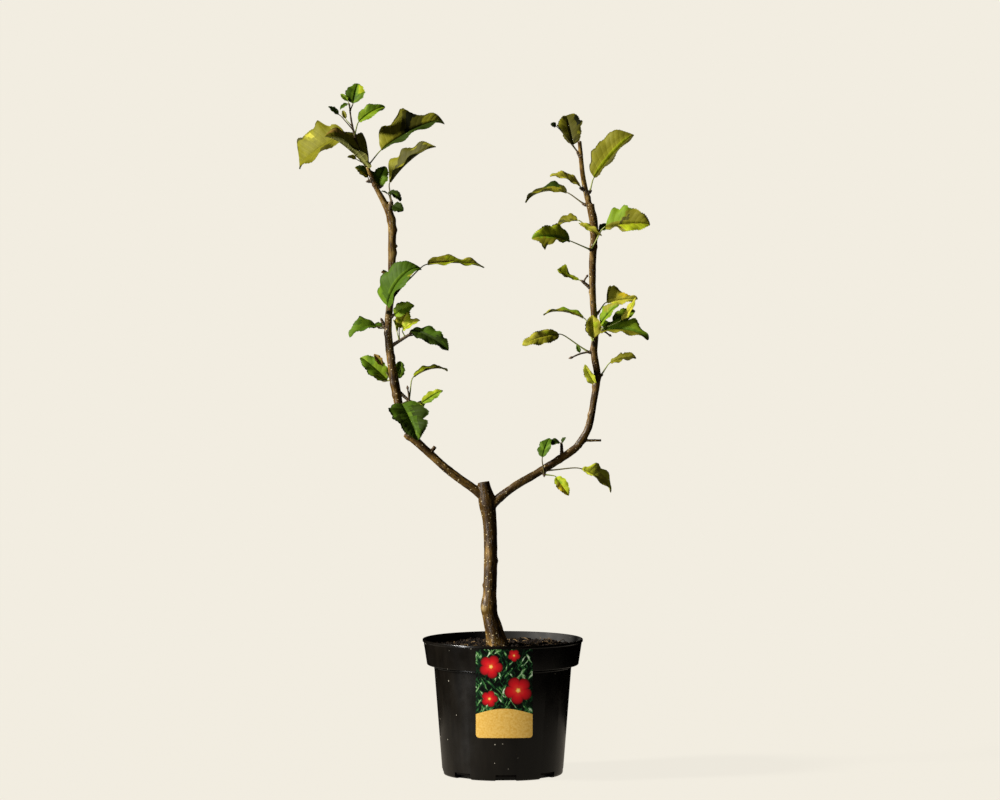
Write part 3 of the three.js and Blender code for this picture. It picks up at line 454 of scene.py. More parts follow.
            ears=[Ear("low", 0.25, 0.2, -0.75), Ear("low", 0.62, 0.2, -0.15), Ear("high", 0.16, 0.1, 0.2)],
        ),
    ]),
    Spray("right_11", RIGHT_UPPER, "height", 788, Stem(aim=150, lean=0, length=8), [
        Leaf("olive", stalk=(22, 144, -6), aim=197, lean=-20, blade=36, arch=40, face=26, breadth=0.8),
        Leaf(
            "pale", stalk=(25, 152, 48), aim=-28, lean=8, blade=37, arch=14, face=50, fold=20, breadth=0.3,
        ),
    ]),
    Spray("right_12", RIGHT_UPPER, "height", 786, Stem(aim=24, lean=-20, length=8), [
        Leaf("deep", stalk=(2, 70, -10), aim=11, lean=-20, blade=22, arch=20, face=36, breadth=0.8),
    ]),
    Spray("right_13", RIGHT_UPPER, "height", 826, Stem(aim=168, lean=-8, length=8), [
        Leaf(
            "shade", stalk=(32, 146, -12), aim=192, lean=-24, blade=72, arch=62, face=20, fold=18,
            breadth=0.54, curl=18,
            patches=[Patch("olive", "low"), Patch("dark", "high", 0.1, 0.4, 0.5)],
            ears=[Ear("high", 0.3, 0.1, 0.35)],
        ),
    ]),
    Spray("right_14", RIGHT_UPPER, "height", 842, Stem(aim=36, lean=24, length=7), [
        Leaf(
            "bright", stalk=(22, 73), aim=49, lean=4, blade=85, arch=10, face=52, fold=32, breadth=0.68,
            patches=[
                # The shade patch on the right half is painted shade; the black tip is a burnt tip.
                Patch("shade", "right", reach=0.1), Patch("black", "both", 0.96),
                Patch("olive", "left", reach=0.3),
            ],
            ears=[
                Ear("left", 0.8, 0.14, 0.45), Ear("left", 0.5, 0.05, 0.1), Ear("left", 0.38, 0.05, -0.12),
                Ear("right", 0.4, 0.5, -0.5),
            ],
        ),
    ]),
    Spray("right_15", RIGHT_UPPER, "height", 848, Stem(aim=160, lean=20, length=7), [
        Leaf(
            "pale", stalk=(5, 119), aim=160, lean=14, blade=49, arch=40, face=30, fold=18, breadth=0.54,
            ears=[Ear("low", 0.16, 0.16, 0.7)],
        ),
    ]),
    Spray("right_16", RIGHT_UPPER, "height", 897, Stem(aim=128, lean=4, length=7), [
        Leaf(
            "shade", stalk=(14, 122, -4), aim=102, lean=-42, blade=66, arch=20, face=8, fold=22,
            breadth=0.72, curl=40,
            patches=[
                Patch("olive", "left", 0.2, 1, 0.3), Patch("black", "both", 0.95),
                # Painted shade: a black patch on the right half, which lies in shade.
                Patch("black", "right", 0.3, 0.6, 0.6),
            ],
            ears=[
                Ear("left", 0.85, 0.25, -0.5), Ear("left", 0.25, 0.2, -0.4), Ear("right", 0.3, 0.25, -0.3),
            ],
        ),
        Leaf("black", stalk=(50, 130), aim=158, lean=10, blade=9, arch=40, face=62, breadth=1),
    ]),
]

# Leaf blades: where they are widest as a share of the length, the spacing of the teeth and of the side
# veins, the depth of a tooth, the thickness, and the margin's ripple out of the blade as a share of the
# length and its lobes in the blade as a share of the breadth.
WIDEST_AT = 0.42
TOOTH_SPACING = 3.4
TOOTH_DEPTH = 1.15
VEIN_SPACING = 8.5
VEIN_WIDTH = 0.55
BLADE_THICKNESS = 0.5
RIPPLE = 0.03
LOBES = 0.09
# The relief of a full-grown blade: the midrib's reach to the side, its groove above and its ridge below,
# the bulge between two veins, how far the margin turns down, and the half width where the stalk ends.
RIB_REACH = 1.0
RIB_GROOVE = 0.25
RIB_RIDGE = 1.1
VEIN_BULGE = 0.38
MARGIN_DROOP = 0.16
BASE_REACH = 0.8
# Tints: the level of noise above which a blotch shows, and the shares of the length and the breadth over
# which a patch fades in.
BLOTCH_LEVEL = 0.34
SOFT_ALONG = 0.1
SOFT_ACROSS = 0.4
# Stalks, spurs and bare twigs: radii at the two ends, the spacing and height of a spur's rings, the
# swelling at its foot, and the share of a spur's length where a twig grows.
STALK_RADII = (1.1, 0.75)
TWIG_RADII = (1.5, 1.15)
BUD_RADIUS = 1.9
SPUR_RING_SPACING = 3.2
SPUR_RING_OUT = 0.22
SPUR_FOOT_OUT = 1.6
TWIG_SPRING = 0.9


def linear(code, alpha=1.0):
    """An sRGB hex colour as linear numbers, the one way in which colours get into a shader."""
    parts = [int(code[i:i + 2], 16) / 255 for i in (1, 3, 5)]
    return tuple(c / 12.92 if c <= 0.04045 else ((c + 0.055) / 1.055) ** 2.4 for c in parts) + (alpha,)


def fill_inputs(tree, node, inputs):
    """Sets a node's inputs to values, or links them to a socket or to the first open output of a node."""
    for name, value in inputs.items():
        if isinstance(value, bpy.types.Node):
            value = next(output for output in value.outputs if output.enabled)
        if isinstance(value, bpy.types.NodeSocket):
            tree.links.new(value, node.inputs[name])
        else:
            node.inputs[name].default_value = value


def add_node(tree, kind, inputs=None, stops=None, **settings):
    """Adds a node, sets its properties, fills its inputs and sets the stops of its colour ramp."""
    made = tree.nodes.new(kind)
    for name, value in settings.items():
        setattr(made, name, value)
    fill_inputs(tree, made, inputs or {})
    if stops:
        elements = made.color_ramp.elements
        while len(elements) < len(stops):
            elements.new(1.0)
        for element, (place, code) in zip(elements, stops):
            element.position = place
            element.color = linear(code)
    return made


def start_material(name, **values):
    """A material with a Principled shader whose own sockets hold the values that are the same all over."""
    material = bpy.data.materials.new(name)
    material.use_nodes = True
    tree = material.node_tree
    shader = tree.nodes["Principled BSDF"]
    for socket, value in values.items():
        shader.inputs[socket.replace("_", " ")].default_value = value
    return material, tree, shader


def put(name, data):
    """An object at the origin with its data, in the scene."""
    made = bpy.data.objects.new(name, data)
    bpy.context.scene.collection.objects.link(made)
    return made


def evaluated_mesh(thing):
    """The plain mesh of an object with its modifiers carried out."""
    depsgraph = bpy.context.evaluated_depsgraph_get()
    return bpy.data.meshes.new_from_object(thing.evaluated_get(depsgraph), depsgraph=depsgraph)


def unit(vector):
    """The vector with a length of 1."""
    return vector / np.linalg.norm(vector)


def direction(aim, lean=0.0):
    """A unit direction from its angle in the plane of the tree and its angle towards the front."""
    a, l = math.radians(aim), math.radians(lean)
    return np.array([math.cos(a) * math.cos(l), -math.sin(l), math.sin(a) * math.cos(l)])


def turned(a, b, angle):
    """Direction a turned by an angle in degrees towards b, which is at right angles to it."""
    t = math.radians(angle)
    return a * math.cos(t) + b * math.sin(t)


def across_from(vector, axis):
    """The part of a vector at right angles to an axis, as a unit vector."""
    return unit(vector - axis * np.dot(vector, axis))


def smooth_line(points, count):
    """Points of a centripetal Catmull-Rom curve at equal steps of the point numbers."""
    pts = np.asarray(points, float)
    padded = [2 * pts[0] - pts[1], *pts, 2 * pts[-1] - pts[-2]]
    found = []
    for t in np.linspace(0, len(pts) - 1, count):
        i = min(int(t), len(pts) - 2)
        w = t - i
        p0, p1, p2, p3 = padded[i:i + 4]
        d0, d1, d2 = (np.linalg.norm(b - a) ** 0.5 for a, b in ((p0, p1), (p1, p2), (p2, p3)))
        m1 = ((p1 - p0) / d0 - (p2 - p0) / (d0 + d1) + (p2 - p1) / d1) * d1
        m2 = ((p2 - p1) / d1 - (p3 - p1) / (d1 + d2) + (p3 - p2) / d2) * d1
        square, cube = 3 * (p2 - p1) - 2 * m1 - m2, 2 * (p1 - p2) + m1 + m2
        found.append(p1 + m1 * w + square * w**2 + cube * w**3)
    return np.array(found)


def limb_line(limb, count):
    """The middle line of a limb and the radius along it, eased from point to point."""
    line = smooth_line([p[:3] for p in limb], count)
    radii = []
    for t in np.linspace(0, len(limb) - 1, count):
        i = min(int(t), len(limb) - 2)
        part = t - i
        ease = part * part * (3 - 2 * part)
        radii.append(limb[i][3] * (1 - ease) + limb[i + 1][3] * ease)
    return line, np.array(radii)


def point_on(limb, axis, value):
    """The point of a limb's middle line at a height or a place across, and the limb's radius there."""
    line, radii = limb_line(limb, PLACE_STEPS)
    step = np.argmin(np.abs(line[:, 2 if axis == "height" else 0] - value))
    return line[step], radii[step]


def arc(start, along, normal, length, arch, steps):
    """Points of an arc that starts at a point and bends away from its normal."""
    places = [start]
    for i in range(1, steps + 1):
        middle = turned(along, normal, arch / 2 - arch * (i - 0.5) / steps)
        places.append(places[-1] + middle * length / steps)
    return places


def upper_side(along, face):
    """The upper side of a leaf: from the sky towards the front by face."""
    sky = across_from(UP, along)
    side = np.cross(along, sky)
    if np.dot(side, FRONT) < 0:
        side = -side
    return turned(sky, side, face)


class Skin:
    """Points in millimetres, faces and material numbers that grow into one mesh."""

    def __init__(self):
        self.points, self.faces, self.slots = [], [], []
        self.count = 0

    def add(self, points, faces, slots):
        self.points.append(np.asarray(points, float))
        self.faces += [[i + self.count for i in face] for face in faces]
        self.slots += slots if isinstance(slots, list) else [slots] * len(faces)
        self.count += len(points)

    def to_object(self, name, materials):
        mesh = bpy.data.meshes.new(name)
        mesh.from_pydata((np.concatenate(self.points) * MM).tolist(), [], self.faces)
        for material in materials:
            mesh.materials.append(material)
        mesh.polygons.foreach_set("material_index", self.slots)
        mesh.polygons.foreach_set("use_smooth", [True] * len(self.faces))
        mesh.update()
        return put(name, mesh)


def add_tube(skin, points, radii, sides, slot):
    """A closed tube through points, with the radius at each."""
    rings = []
    u = None
    for i, (point, radius) in enumerate(zip(points, radii)):
        along = unit(points[min(i + 1, len(points) - 1)] - points[max(i - 1, 0)])
        if u is None:
            u = across_from(UP if abs(along @ FRONT) > 0.9 else FRONT, along)
        u = across_from(u, along)
        v = np.cross(along, u)
        angles = np.arange(sides) * 2 * math.pi / sides
        rings.append(point + radius * (np.outer(np.cos(angles), u) + np.outer(np.sin(angles), v)))
    faces = []
    for i in range(len(rings) - 1):
        for j in range(sides):
            a, b = i * sides + j, i * sides + (j + 1) % sides
            faces.append([a, b, b + sides, a + sides])
    faces.append(list(range(sides))[::-1])
    faces.append([(len(rings) - 1) * sides + j for j in range(sides)])
    skin.add(np.concatenate(rings), faces, slot)


# Geometry Nodes

def new_tree(name, sockets):
    """A Geometry Nodes tree with a geometry in and out, and named inputs for its sizes."""
    tree = bpy.data.node_groups.new(name, "GeometryNodeTree")
    tree.interface.new_socket("Geometry", in_out="INPUT", socket_type="NodeSocketGeometry")
    tree.interface.new_socket("Geometry", in_out="OUTPUT", socket_type="NodeSocketGeometry")
    for label, kind in sockets.items():
        tree.interface.new_socket(label, in_out="INPUT", socket_type="NodeSocket" + kind)
    return tree, add_node(tree, "NodeGroupInput").outputs


def end_tree(tree, geometry, material):
    """Ends a tree: its instances become real, get their material and leave the tree."""
    real = add_node(tree, "GeometryNodeRealizeInstances", {"Geometry": geometry})
    painted = add_node(tree, "GeometryNodeSetMaterial", {"Geometry": real, "Material": material})
    add_node(tree, "NodeGroupOutput", {"Geometry": painted})
    return tree


def grown(source, tree, name, **values):
    """The plain mesh that a tree makes of an object, with the tree's named inputs set by identifier."""
    modifier = source.modifiers.new(tree.name, "NODES")
    modifier.node_group = tree
    identifiers = {item.name: item.identifier for item in tree.interface.items_tree if item.in_out == "INPUT"}
    for label, value in values.items():
        modifier[identifiers[label.replace("_", " ")]] = value
    mesh = evaluated_mesh(source)
    mesh.name = name
    source.modifiers.remove(modifier)
    return put(name, mesh)


def limb_tree(material):
    """Tubes along curves, with the radius of each point, closed at both ends."""
    tree, given = new_tree("limbs_from_lines", {"Sides": "Int"})
    circle = add_node(tree, "GeometryNodeCurvePrimitiveCircle", {"Resolution": given["Sides"], "Radius": 1.0})
    radius = add_node(tree, "GeometryNodeInputRadius")
    tube = add_node(
        tree, "GeometryNodeCurveToMesh",
        {"Curve": given["Geometry"], "Profile Curve": circle, "Scale": radius, "Fill Caps": True},
    )
    return end_tree(tree, tube, material)


def grain_noise(tree, grain, size, stretch, detail):
    """Noise with grains of a size in millimetres, drawn out along the limb by a stretch under 1."""
    scaled = add_node(
        tree, "ShaderNodeVectorMath", {0: grain, 1: tuple(s * 1000 / size for s in (1, 1, stretch))},
        operation="MULTIPLY",
    )
    return add_node(tree, "ShaderNodeTexNoise", {"Vector": scaled, "Scale": 1.0, "Detail": detail})


def bark_tree(material):
    """Moves the wood's skin by bark relief that runs along each limb, and gives it its material."""
    sockets = dict.fromkeys(["Lump height", "Ridge height", "Grit height"], "Float")
    tree, given = new_tree("bark_relief", sockets)
    grain = add_node(tree, "GeometryNodeInputNamedAttribute", {"Name": "grain"}, data_type="FLOAT_VECTOR")
    rough = add_node(tree, "GeometryNodeInputNamedAttribute", {"Name": "rough"}, data_type="FLOAT")
    # Lumps 20 mm long, ridges 7 mm long and 2 mm wide, and grit of 1.5 mm.
    total = 0.0
    for label, size, stretch in zip(sockets, (10, 2.2, 1.5), (0.5, 0.3, 1)):
        wave = grain_noise(tree, grain, size, stretch, 2.0)
        centred = add_node(tree, "ShaderNodeMath", {0: wave, 1: 0.5}, operation="SUBTRACT")
        raised = add_node(tree, "ShaderNodeMath", {0: centred, 1: given[label]}, operation="MULTIPLY")
        total = add_node(tree, "ShaderNodeMath", {0: total, 1: raised}, operation="ADD")
    amount = add_node(tree, "ShaderNodeMath", {0: total, 1: rough}, operation="MULTIPLY")
    normal = add_node(tree, "GeometryNodeInputNormal")
    offset = add_node(tree, "ShaderNodeVectorMath", {0: normal, "Scale": amount}, operation="SCALE")
    moved = add_node(tree, "GeometryNodeSetPosition", {"Geometry": given["Geometry"], "Offset": offset})
    smooth = add_node(tree, "GeometryNodeSetShadeSmooth", {"Geometry": moved})
    return end_tree(tree, smooth, material)


# Wood: the sides of the first tubes, the cells that join them into one skin, how far the root lobes stand
# out, where the smooth young shoots start and over what height they do, and the heights of the bark relief.
TUBE_SIDES = 24
JOINING_CELL = 1.05
ROOT_LOBE_OUT = 3.2
SHOOTS_START = 560
SHOOTS_OVER = 330
BARK_RELIEF = dict(Lump_height=1.1 * MM, Ridge_height=0.9 * MM, Grit_height=0.35 * MM)


def curve_object(name, lines):
    """A curve object of straight splines, each a list of points with a list of radii."""
    curve = bpy.data.curves.new(name, "CURVE")
    curve.dimensions = "3D"
    for points, radii in lines:
        spline = curve.splines.new("POLY")
        spline.points.add(len(points) - 1)
        for slot, point, radius in zip(spline.points, points, radii):
            slot.co = (*(point * MM), 1.0)
            slot.radius = radius * MM
    return put(name, curve)


def wood_lines():
    """Every limb and snag as a line with radii. Limbs are sunk into the limb that carries them."""
    lines = [limb_line(limb, TUBE_STEPS) for limb in LIMBS]
    for snag in SNAGS:
        root, _ = point_on(snag.on, snag.axis, snag.at)
        way = direction(snag.aim)
        steps = np.linspace(0, 1, 8)
        points = [root + way * s * snag.length + FRONT * math.sin(3 * s) * 0.5 for s in steps]
        lines.append((points, [snag.radius * (1 + 0.5 * math.exp(-6 * s)) for s in steps]))
    return lines


def limb_frames(lines):
    """Step points of all the limbs, with the limb's number, length so far, direction and side vectors."""
    table = {"point": [], "limb": [], "far": [], "along": [], "u": [], "v": [], "radius": []}
    for number, (points, radii) in enumerate(lines):
        ways = np.gradient(points, axis=0)
        ways /= np.linalg.norm(ways, axis=1)[:, None]
        far = np.concatenate([[0], np.cumsum(np.linalg.norm(np.diff(points, axis=0), axis=1))])
        u = None
        for point, way, length, radius in zip(points, ways, far, radii):
            u = across_from(FRONT if u is None else u, way)
            for key, value in zip(table, (point, number, length, way, u, np.cross(way, u), radius)):
                table[key].append(value)
    return {key: np.array(value) for key, value in table.items()}


def nearest_steps(places, table):
    """For each place the step of a limb whose surface it lies nearest to, worked out in batches."""
    batch = 4000
    found = np.empty(len(places), int)
    for start in range(0, len(places), batch):
        part = places[start:start + batch]
        gaps = np.linalg.norm(part[:, None, :] - table["point"][None, :, :], axis=2)
        found[start:start + batch] = np.argmin(gaps - table["radius"][None, :], axis=1)
    return found


def joined_limbs(lines, material):
    """The tubes of all the limbs, joined into one skin with soft forks."""
    source = curve_object("limb_lines", lines)
    wood = grown(source, limb_tree(material), "wood_rough", Sides=TUBE_SIDES)
    bpy.data.objects.remove(source)
    remesh = wood.modifiers.new("join", "REMESH")
    remesh.mode = "VOXEL"
    remesh.voxel_size = JOINING_CELL * MM
    soften = wood.modifiers.new("soften", "SMOOTH")
    soften.factor = 0.5
    soften.iterations = 3
    mesh = evaluated_mesh(wood)
    wood.modifiers.clear()
    wood.data = mesh
    return wood


def knot_swell(knot, table, near, far, out):
    """How far a knot lifts each point of the skin, which has its nearest step, length along and way out."""
    number = next(i for i, limb in enumerate(LIMBS) if limb is knot.on)
    middle, radius = point_on(knot.on, knot.axis, knot.at)
    gaps = np.linalg.norm(table["point"] - middle, axis=1)
    step = np.argmin(np.where(table["limb"] == number, gaps, np.inf))
    away = (far - table["far"][step]) / knot.long
    share = np.exp(-away**2)
    if knot.wide:
        turn = math.radians(knot.round)
        aim = across_from(FRONT * math.cos(turn) + RIGHT * math.sin(turn), table["along"][step])
        off = np.linalg.norm(out - aim, axis=1) * radius / knot.wide
        share = share * np.exp(-off**2)
    return np.where(table["limb"][near] == number, share * knot.out, 0)


def make_wood(material):
    """Limbs and snags, joined into one skin with soft forks, knots, rings and bark relief."""
    lines = wood_lines()
    wood = joined_limbs(lines, material)
    mesh = wood.data
    places = np.empty(len(mesh.vertices) * 3, np.float32)
    mesh.vertices.foreach_get("co", places)
    places = places.reshape(-1, 3).astype(float) / MM
    table = limb_frames(lines)
    near = nearest_steps(places, table)
    arms = places - table["point"][near]
    side_u, side_v, ahead = (np.einsum("ij,ij->i", arms, table[key][near]) for key in ("u", "v", "along"))
    far = table["far"][near] + ahead
    out = arms - table["along"][near] * ahead[:, None]
    out /= np.maximum(np.linalg.norm(out, axis=1), 0.5)[:, None]

    swell = sum(knot_swell(knot, table, near, far, out) for knot in KNOTS)
    # Root lobes at the foot of the trunk.
    foot = np.where(table["limb"][near] == 0, np.exp(-np.maximum(far - 8, 0) / 11), 0)
    swell += foot * ROOT_LOBE_OUT * (np.cos(3 * np.arctan2(side_v, side_u) + 0.9) ** 2 - 0.35)
    mesh.vertices.foreach_set("co", ((places + out * swell[:, None]) * MM).astype(np.float32).ravel())

    # The grain runs along each limb, and each limb has its own part of the pattern.
    shift = table["limb"][near] * 37.0
    grain = np.stack([side_u + shift, side_v, far], 1) * MM
    # Rough old bark on the trunk and lower limbs, smooth shoots at the top.
    young = np.clip((places[:, 2] - SHOOTS_START) / SHOOTS_OVER, 0, 1)
    for name, kind, part, values in (
        ("grain", "FLOAT_VECTOR", "vector", grain),
        ("rough", "FLOAT", "value", 1.0 - 0.6 * young),
        ("young", "FLOAT", "value", young),
    ):
        mesh.attributes.new(name, kind, "POINT").data.foreach_set(part, values.astype(np.float32).ravel())
    mesh.update()
    bark = grown(wood, bark_tree(material), "bark", **BARK_RELIEF)
    bpy.data.objects.remove(wood)
    return bark


# Leaves: the shares of half a blade's breadth where its columns of faces start, and the steps of a blade's
# midrib and of a spur's line.
COLUMNS = (0, 0.16, 0.34, 0.52, 0.7, 0.86, 1)
MIDRIB_STEPS = 120
SPUR_STEPS = 40


def outline(t):
    """Half breadth of a blade at share t of its length, as a share of the greatest: an oval with a point."""
    bend = math.log(0.5) / math.log(WIDEST_AT)
    return max(math.sin(math.pi * t**bend), 0.0) ** 0.72 if t < 1 else 0.0


def tooth_count(leaf):
    """How many teeth one side of a blade has."""
    return max(4, round(leaf.blade / TOOTH_SPACING))


def relief_size(leaf):
    """How strong the midrib and the bulges between the veins are: less on a small leaf."""
    return min(1.0, 0.35 + leaf.blade / 90)


def blade_rows(leaf):
    """Shares of the midrib where rows of faces start, the starts of the vein rows, and the vein places."""
    count = max(2, round(leaf.blade / VEIN_SPACING))
    half = VEIN_WIDTH / leaf.blade / 2
    veins = [(i + 0.55) / (count + 0.35) for i in range(count)]
    rows = np.linspace(0, 1, 3 * tooth_count(leaf) + 1)
    rows = [row for row in rows if all(abs(row - vein) > 2 * half for vein in veins)]
    rows += [vein - half for vein in veins] + [vein + half for vein in veins]
    return sorted(rows), {vein - half for vein in veins}, veins


def blade_line(leaf, base, along, normal, twist):
    """A function for the place and the forward, side and up vectors at a share of the blade's length."""
    places, frames = [base], []
    for i in range(MIDRIB_STEPS + 1):
        t = i / MIDRIB_STEPS
        tip = max(0.0, (t - 0.6) / 0.4)
        angle = leaf.arch / 2 - leaf.arch * t - leaf.curl * tip * tip
        forward, up = turned(along, normal, angle), turned(normal, -along, angle)
        side = np.cross(forward, up)
        turn = twist * t
        frames.append((forward, turned(side, up, turn), turned(up, -side, turn)))
        places.append(places[-1] + forward * leaf.blade / MIDRIB_STEPS)

    def at(t):
        t = min(max(t, 0.0), 1.0) * MIDRIB_STEPS
        i = min(int(t), MIDRIB_STEPS - 1)
        w = t - i
        return [
            places[i] * (1 - w) + places[i + 1] * w,
            *(unit(frames[i][k] * (1 - w) + frames[i + 1][k] * w) for k in range(3)),
        ]

    return at


def which_side(name, across):
    """1 for the half that the name means, as seen in its place on the tree, -1 for the other, 0 for both."""
    if name == "both":
        return 0
    return 1 if np.dot(across, SIDES[name]) > 0 else -1


def tint_tone(tint):
    """A tint's upper side as brightness and two colour differences, red against green weighing most."""
    red, green, blue = np.array(linear(TINTS[tint][0])[:3]) ** 0.45
    return np.array([(red + green + blue) / 3, 3 * (red - green), green - blue])


@functools.cache
def blended(first, second, share):
    """The tint that comes nearest to a mix of two others, so that one runs softly into the next."""
    wanted = tint_tone(first) * (1 - share) + tint_tone(second) * share
    return min(TINTS, key=lambda tint: np.linalg.norm(tint_tone(tint) - wanted))


def blade_tint(leaf, patches, t, c, side, seed):
    """The tint of one place of a blade: its own, with random blotches, and its patches with soft edges."""
    ragged = 0.04 * noise.noise((t * 11, c * 5, seed)) + 0.02 * noise.noise((t * 37, c * 11, seed))
    chosen = leaf.tint
    if noise.noise((t * 3.4 + seed, side * (1 + c * 1.3), seed * 0.7)) > BLOTCH_LEVEL:
        chosen = NEIGHBOUR[chosen]
    # Borders lean forwards as the side veins do.
    t += ragged - 0.06 * c
    # Patches hold painted light and shade on a blade's halves, besides the leaf's own brown edges, spots and
    # burnt tips.
    for patch in patches:
        if patch.side in (0, side):
            share = 1.0
            if patch.start > 0.01:
                share = min(share, (t - patch.start) / SOFT_ALONG + 0.5)
            if patch.end < 0.99:
                share = min(share, (patch.end - t) / SOFT_ALONG + 0.5)
            if patch.reach > 0.01:
                share = min(share, (c + ragged * 2 - patch.reach) / SOFT_ACROSS + 0.6)
            if share > 0.15:
                chosen = blended(chosen, patch.tint, min(round(share * 3) / 3, 1.0))
    return chosen


def blade_relief(leaf, ears, veins, chance):
    """A function for one point of the upper skin: how far it lies across, up and forward of the midrib's
    line, and at which share of the length."""
    length, half = leaf.blade, leaf.blade * leaf.breadth / 2
    fold = math.radians(leaf.fold)
    size = relief_size(leaf)
    # Rows run forwards towards the margin, as the side veins do.
    shear = min(0.8 * half / length, 0.22)
    teeth = tooth_count(leaf)
    depth = TOOTH_DEPTH * min(1.0, 0.4 + half / 22)
    tooth_sizes = {(side, k): chance.uniform(0.3, 1.4) for side in (-1, 1) for k in range(teeth + 2)}
    ripples = chance.uniform(2.0, 3.2)
    scallops = chance.uniform(3.2, 4.4)
    phases = {side: chance.uniform(0, 2 * math.pi) for side in (-1, 1)}
    lobe_phases = {side: chance.uniform(0, math.pi) for side in (-1, 1)}

    def place(row, column):
        c = 0 if column == "midrib" else abs(column)
        side = -1 if column != "midrib" and column < 0 else 1
        t = row + shear * c * 4 * row * (1 - row) * 0.9
        # The half's width here, with its lobes and ears and a base that joins the stalk.
        lobe = LOBES * (1.6 * abs(math.sin(math.pi * scallops * t + lobe_phases[side])) - 1.0)
        width, rise = half * outline(t) * (1 + lobe * c), 0.0
        for ear in ears:
            if ear.side in (0, side):
                bump = math.exp(-(((t - ear.at) / ear.spread) ** 2))
                width *= 1 + ear.grow * bump * (0.4 + 0.6 * c)
                rise += ear.lift * bump
        width += BASE_REACH * size * (1 - t) ** 8
        # The first column of each half lies on the midrib's right edge, up to 1 mm from the middle.
        rib = min(0.55, (RIB_REACH - 0.65 * t) * size / max(width, 0.3))
        share = 0 if column == "midrib" else min(rib + (1 - rib) * c, 1.0)
        # A tooth rises over 0.7 of its length and falls over the rest.
        number, saw = divmod(row * teeth, 1)
        saw = saw / 0.7 if saw < 0.7 else (1 - saw) / 0.3
        edge = depth * tooth_sizes[side, int(number)] * (saw - 0.4) * min(1.0, width / 4) if c == 1 else 0.0
        x = share * width * math.cos(fold) + edge
        # The halves fold up, bulge between two veins, turn down at the margin and ripple.
        gap = next((k for k, vein in enumerate(veins) if vein > row), len(veins))
        low = veins[gap - 1] if gap > 0 else 0.0
        high = veins[gap] if gap < len(veins) else 1.0
        bulge = max(math.sin(math.pi * (row - low) / (high - low)), 0.0) ** 0.7 if high > low else 0.0
        ripple = math.sin(2 * math.pi * ripples * t + phases[side])
        z = width * math.sin(fold) * (share + 0.35 * share * (1 - share)) + rise * width * share**2
        z -= MARGIN_DROOP * width * max(0.0, share - 0.6) ** 2 * 3
        z += VEIN_BULGE * size * bulge * (4 * share * (1 - share)) ** 0.8
        z += RIPPLE * length * share**2 * ripple * min(1.0, 4 * t) * min(1.0, 5 * (1 - t) + 0.3)
        if column == "midrib":
            z -= RIB_GROOVE * size
        return side * x, z, 0.45 * edge, t

    return place


def add_blade(skin, leaf, base, along, normal, chance):
    """A blade with a midrib, side veins, scalloped and rippled halves and forward teeth."""
    rows, vein_rows, veins = blade_rows(leaf)
    across = np.cross(along, normal)
    ears = [ear._replace(side=which_side(ear.side, across)) for ear in leaf.ears]
    patches = [patch._replace(side=which_side(patch.side, across)) for patch in leaf.patches]
    at = blade_line(leaf, base, along, normal, chance.uniform(-10, 10))
    place = blade_relief(leaf, ears, veins, chance)
    seed = chance.uniform(0, 50)
    size = relief_size(leaf)
    columns = [-c for c in COLUMNS[::-1]] + ["midrib", *COLUMNS]
    wide, middle = len(columns), len(columns) // 2
    upper, lower = [], []
    for row in rows:
        for column in columns:
            x, z, forward, t = place(row, column)
            point, ahead, sideways, up = at(t)
            point = point + ahead * forward + sideways * x + up * z
            rib = (RIB_RIDGE - 0.8 * t) * size if column == "midrib" else 0.0
            thin = BLADE_THICKNESS * (0.5 if column in (-1, 1) else 1.0)
            upper.append(point)
            lower.append(point - up * (thin + rib))
    # Each tint has four materials in a row: upper side, underside, side veins and midrib.
    faces, slots = [], []
    down = len(upper)
    for i in range(len(rows) - 1):
        t = (rows[i] + rows[i + 1]) / 2
        for j in range(wide - 1):
            a, b = i * wide + j, i * wide + j + 1
            side = 1 if j >= middle else -1
            midrib = j in (middle - 1, middle)
            c = 0.0 if midrib else COLUMNS[j - middle if side > 0 else middle - 1 - j]
            slot = list(TINTS).index(blade_tint(leaf, patches, t, c, side, seed)) * 4
            vein = rows[i] in vein_rows and 0 < j < wide - 2
            faces.append([a, b, b + wide, a + wide])
            faces.append([down + a + wide, down + b + wide, down + b, down + a])
            slots += [slot + (3 if midrib else 2 if vein else 0), slot + (3 if midrib or vein else 1)]
        first, last = i * wide, i * wide + wide - 1
        faces.append([first, down + first, down + first + wide, first + wide])
        faces.append([last + wide, down + last + wide, down + last, last])
        slots += [0, 0]
    end = (len(rows) - 1) * wide
    for j in range(wide - 1):
        faces.append([j, j + 1, down + j + 1, down + j])
        slots.append(0)
    for a in range(end, end + wide - 1):
        faces.append([down + a, down + a + 1, a + 1, a])
        slots.append(0)
    skin.add(upper + lower, [face[::-1] for face in faces], slots)


def add_stalk(skin, leaf, root, along, normal):
    """A slim curved stalk, thicker where it joins the spur. Returns where the blade starts."""
    length, aim, *rest = leaf.stalk
    way = direction(aim, rest[0] if rest else leaf.lean / 2)
    base = root + way * length
    ahead = turned(along, normal, leaf.arch / 2)
    first, second = root + way * length * 0.55, base - ahead * length * 0.22
    size = min(1.0, 0.55 + leaf.blade / 90)
    steps = np.linspace(0, 1, max(6, int(length / 3)))
    points = [
        root * (1 - s) ** 3 + first * 3 * s * (1 - s) ** 2 + second * 3 * s * s * (1 - s) + base * s**3
        for s in steps
    ]
    start, end = STALK_RADII
    swollen = [0.7 * math.exp(-14 * s) + 0.25 * max(0, s - 0.85) for s in steps]
    radii = [size * (start + (end - start) * s + more) for s, more in zip(steps, swollen)]
    green = leaf.tint in ("fresh", "bright", "gold", "pale", "olive")
    add_tube(skin, points, radii, 8, 0 if green else 1)
    return base


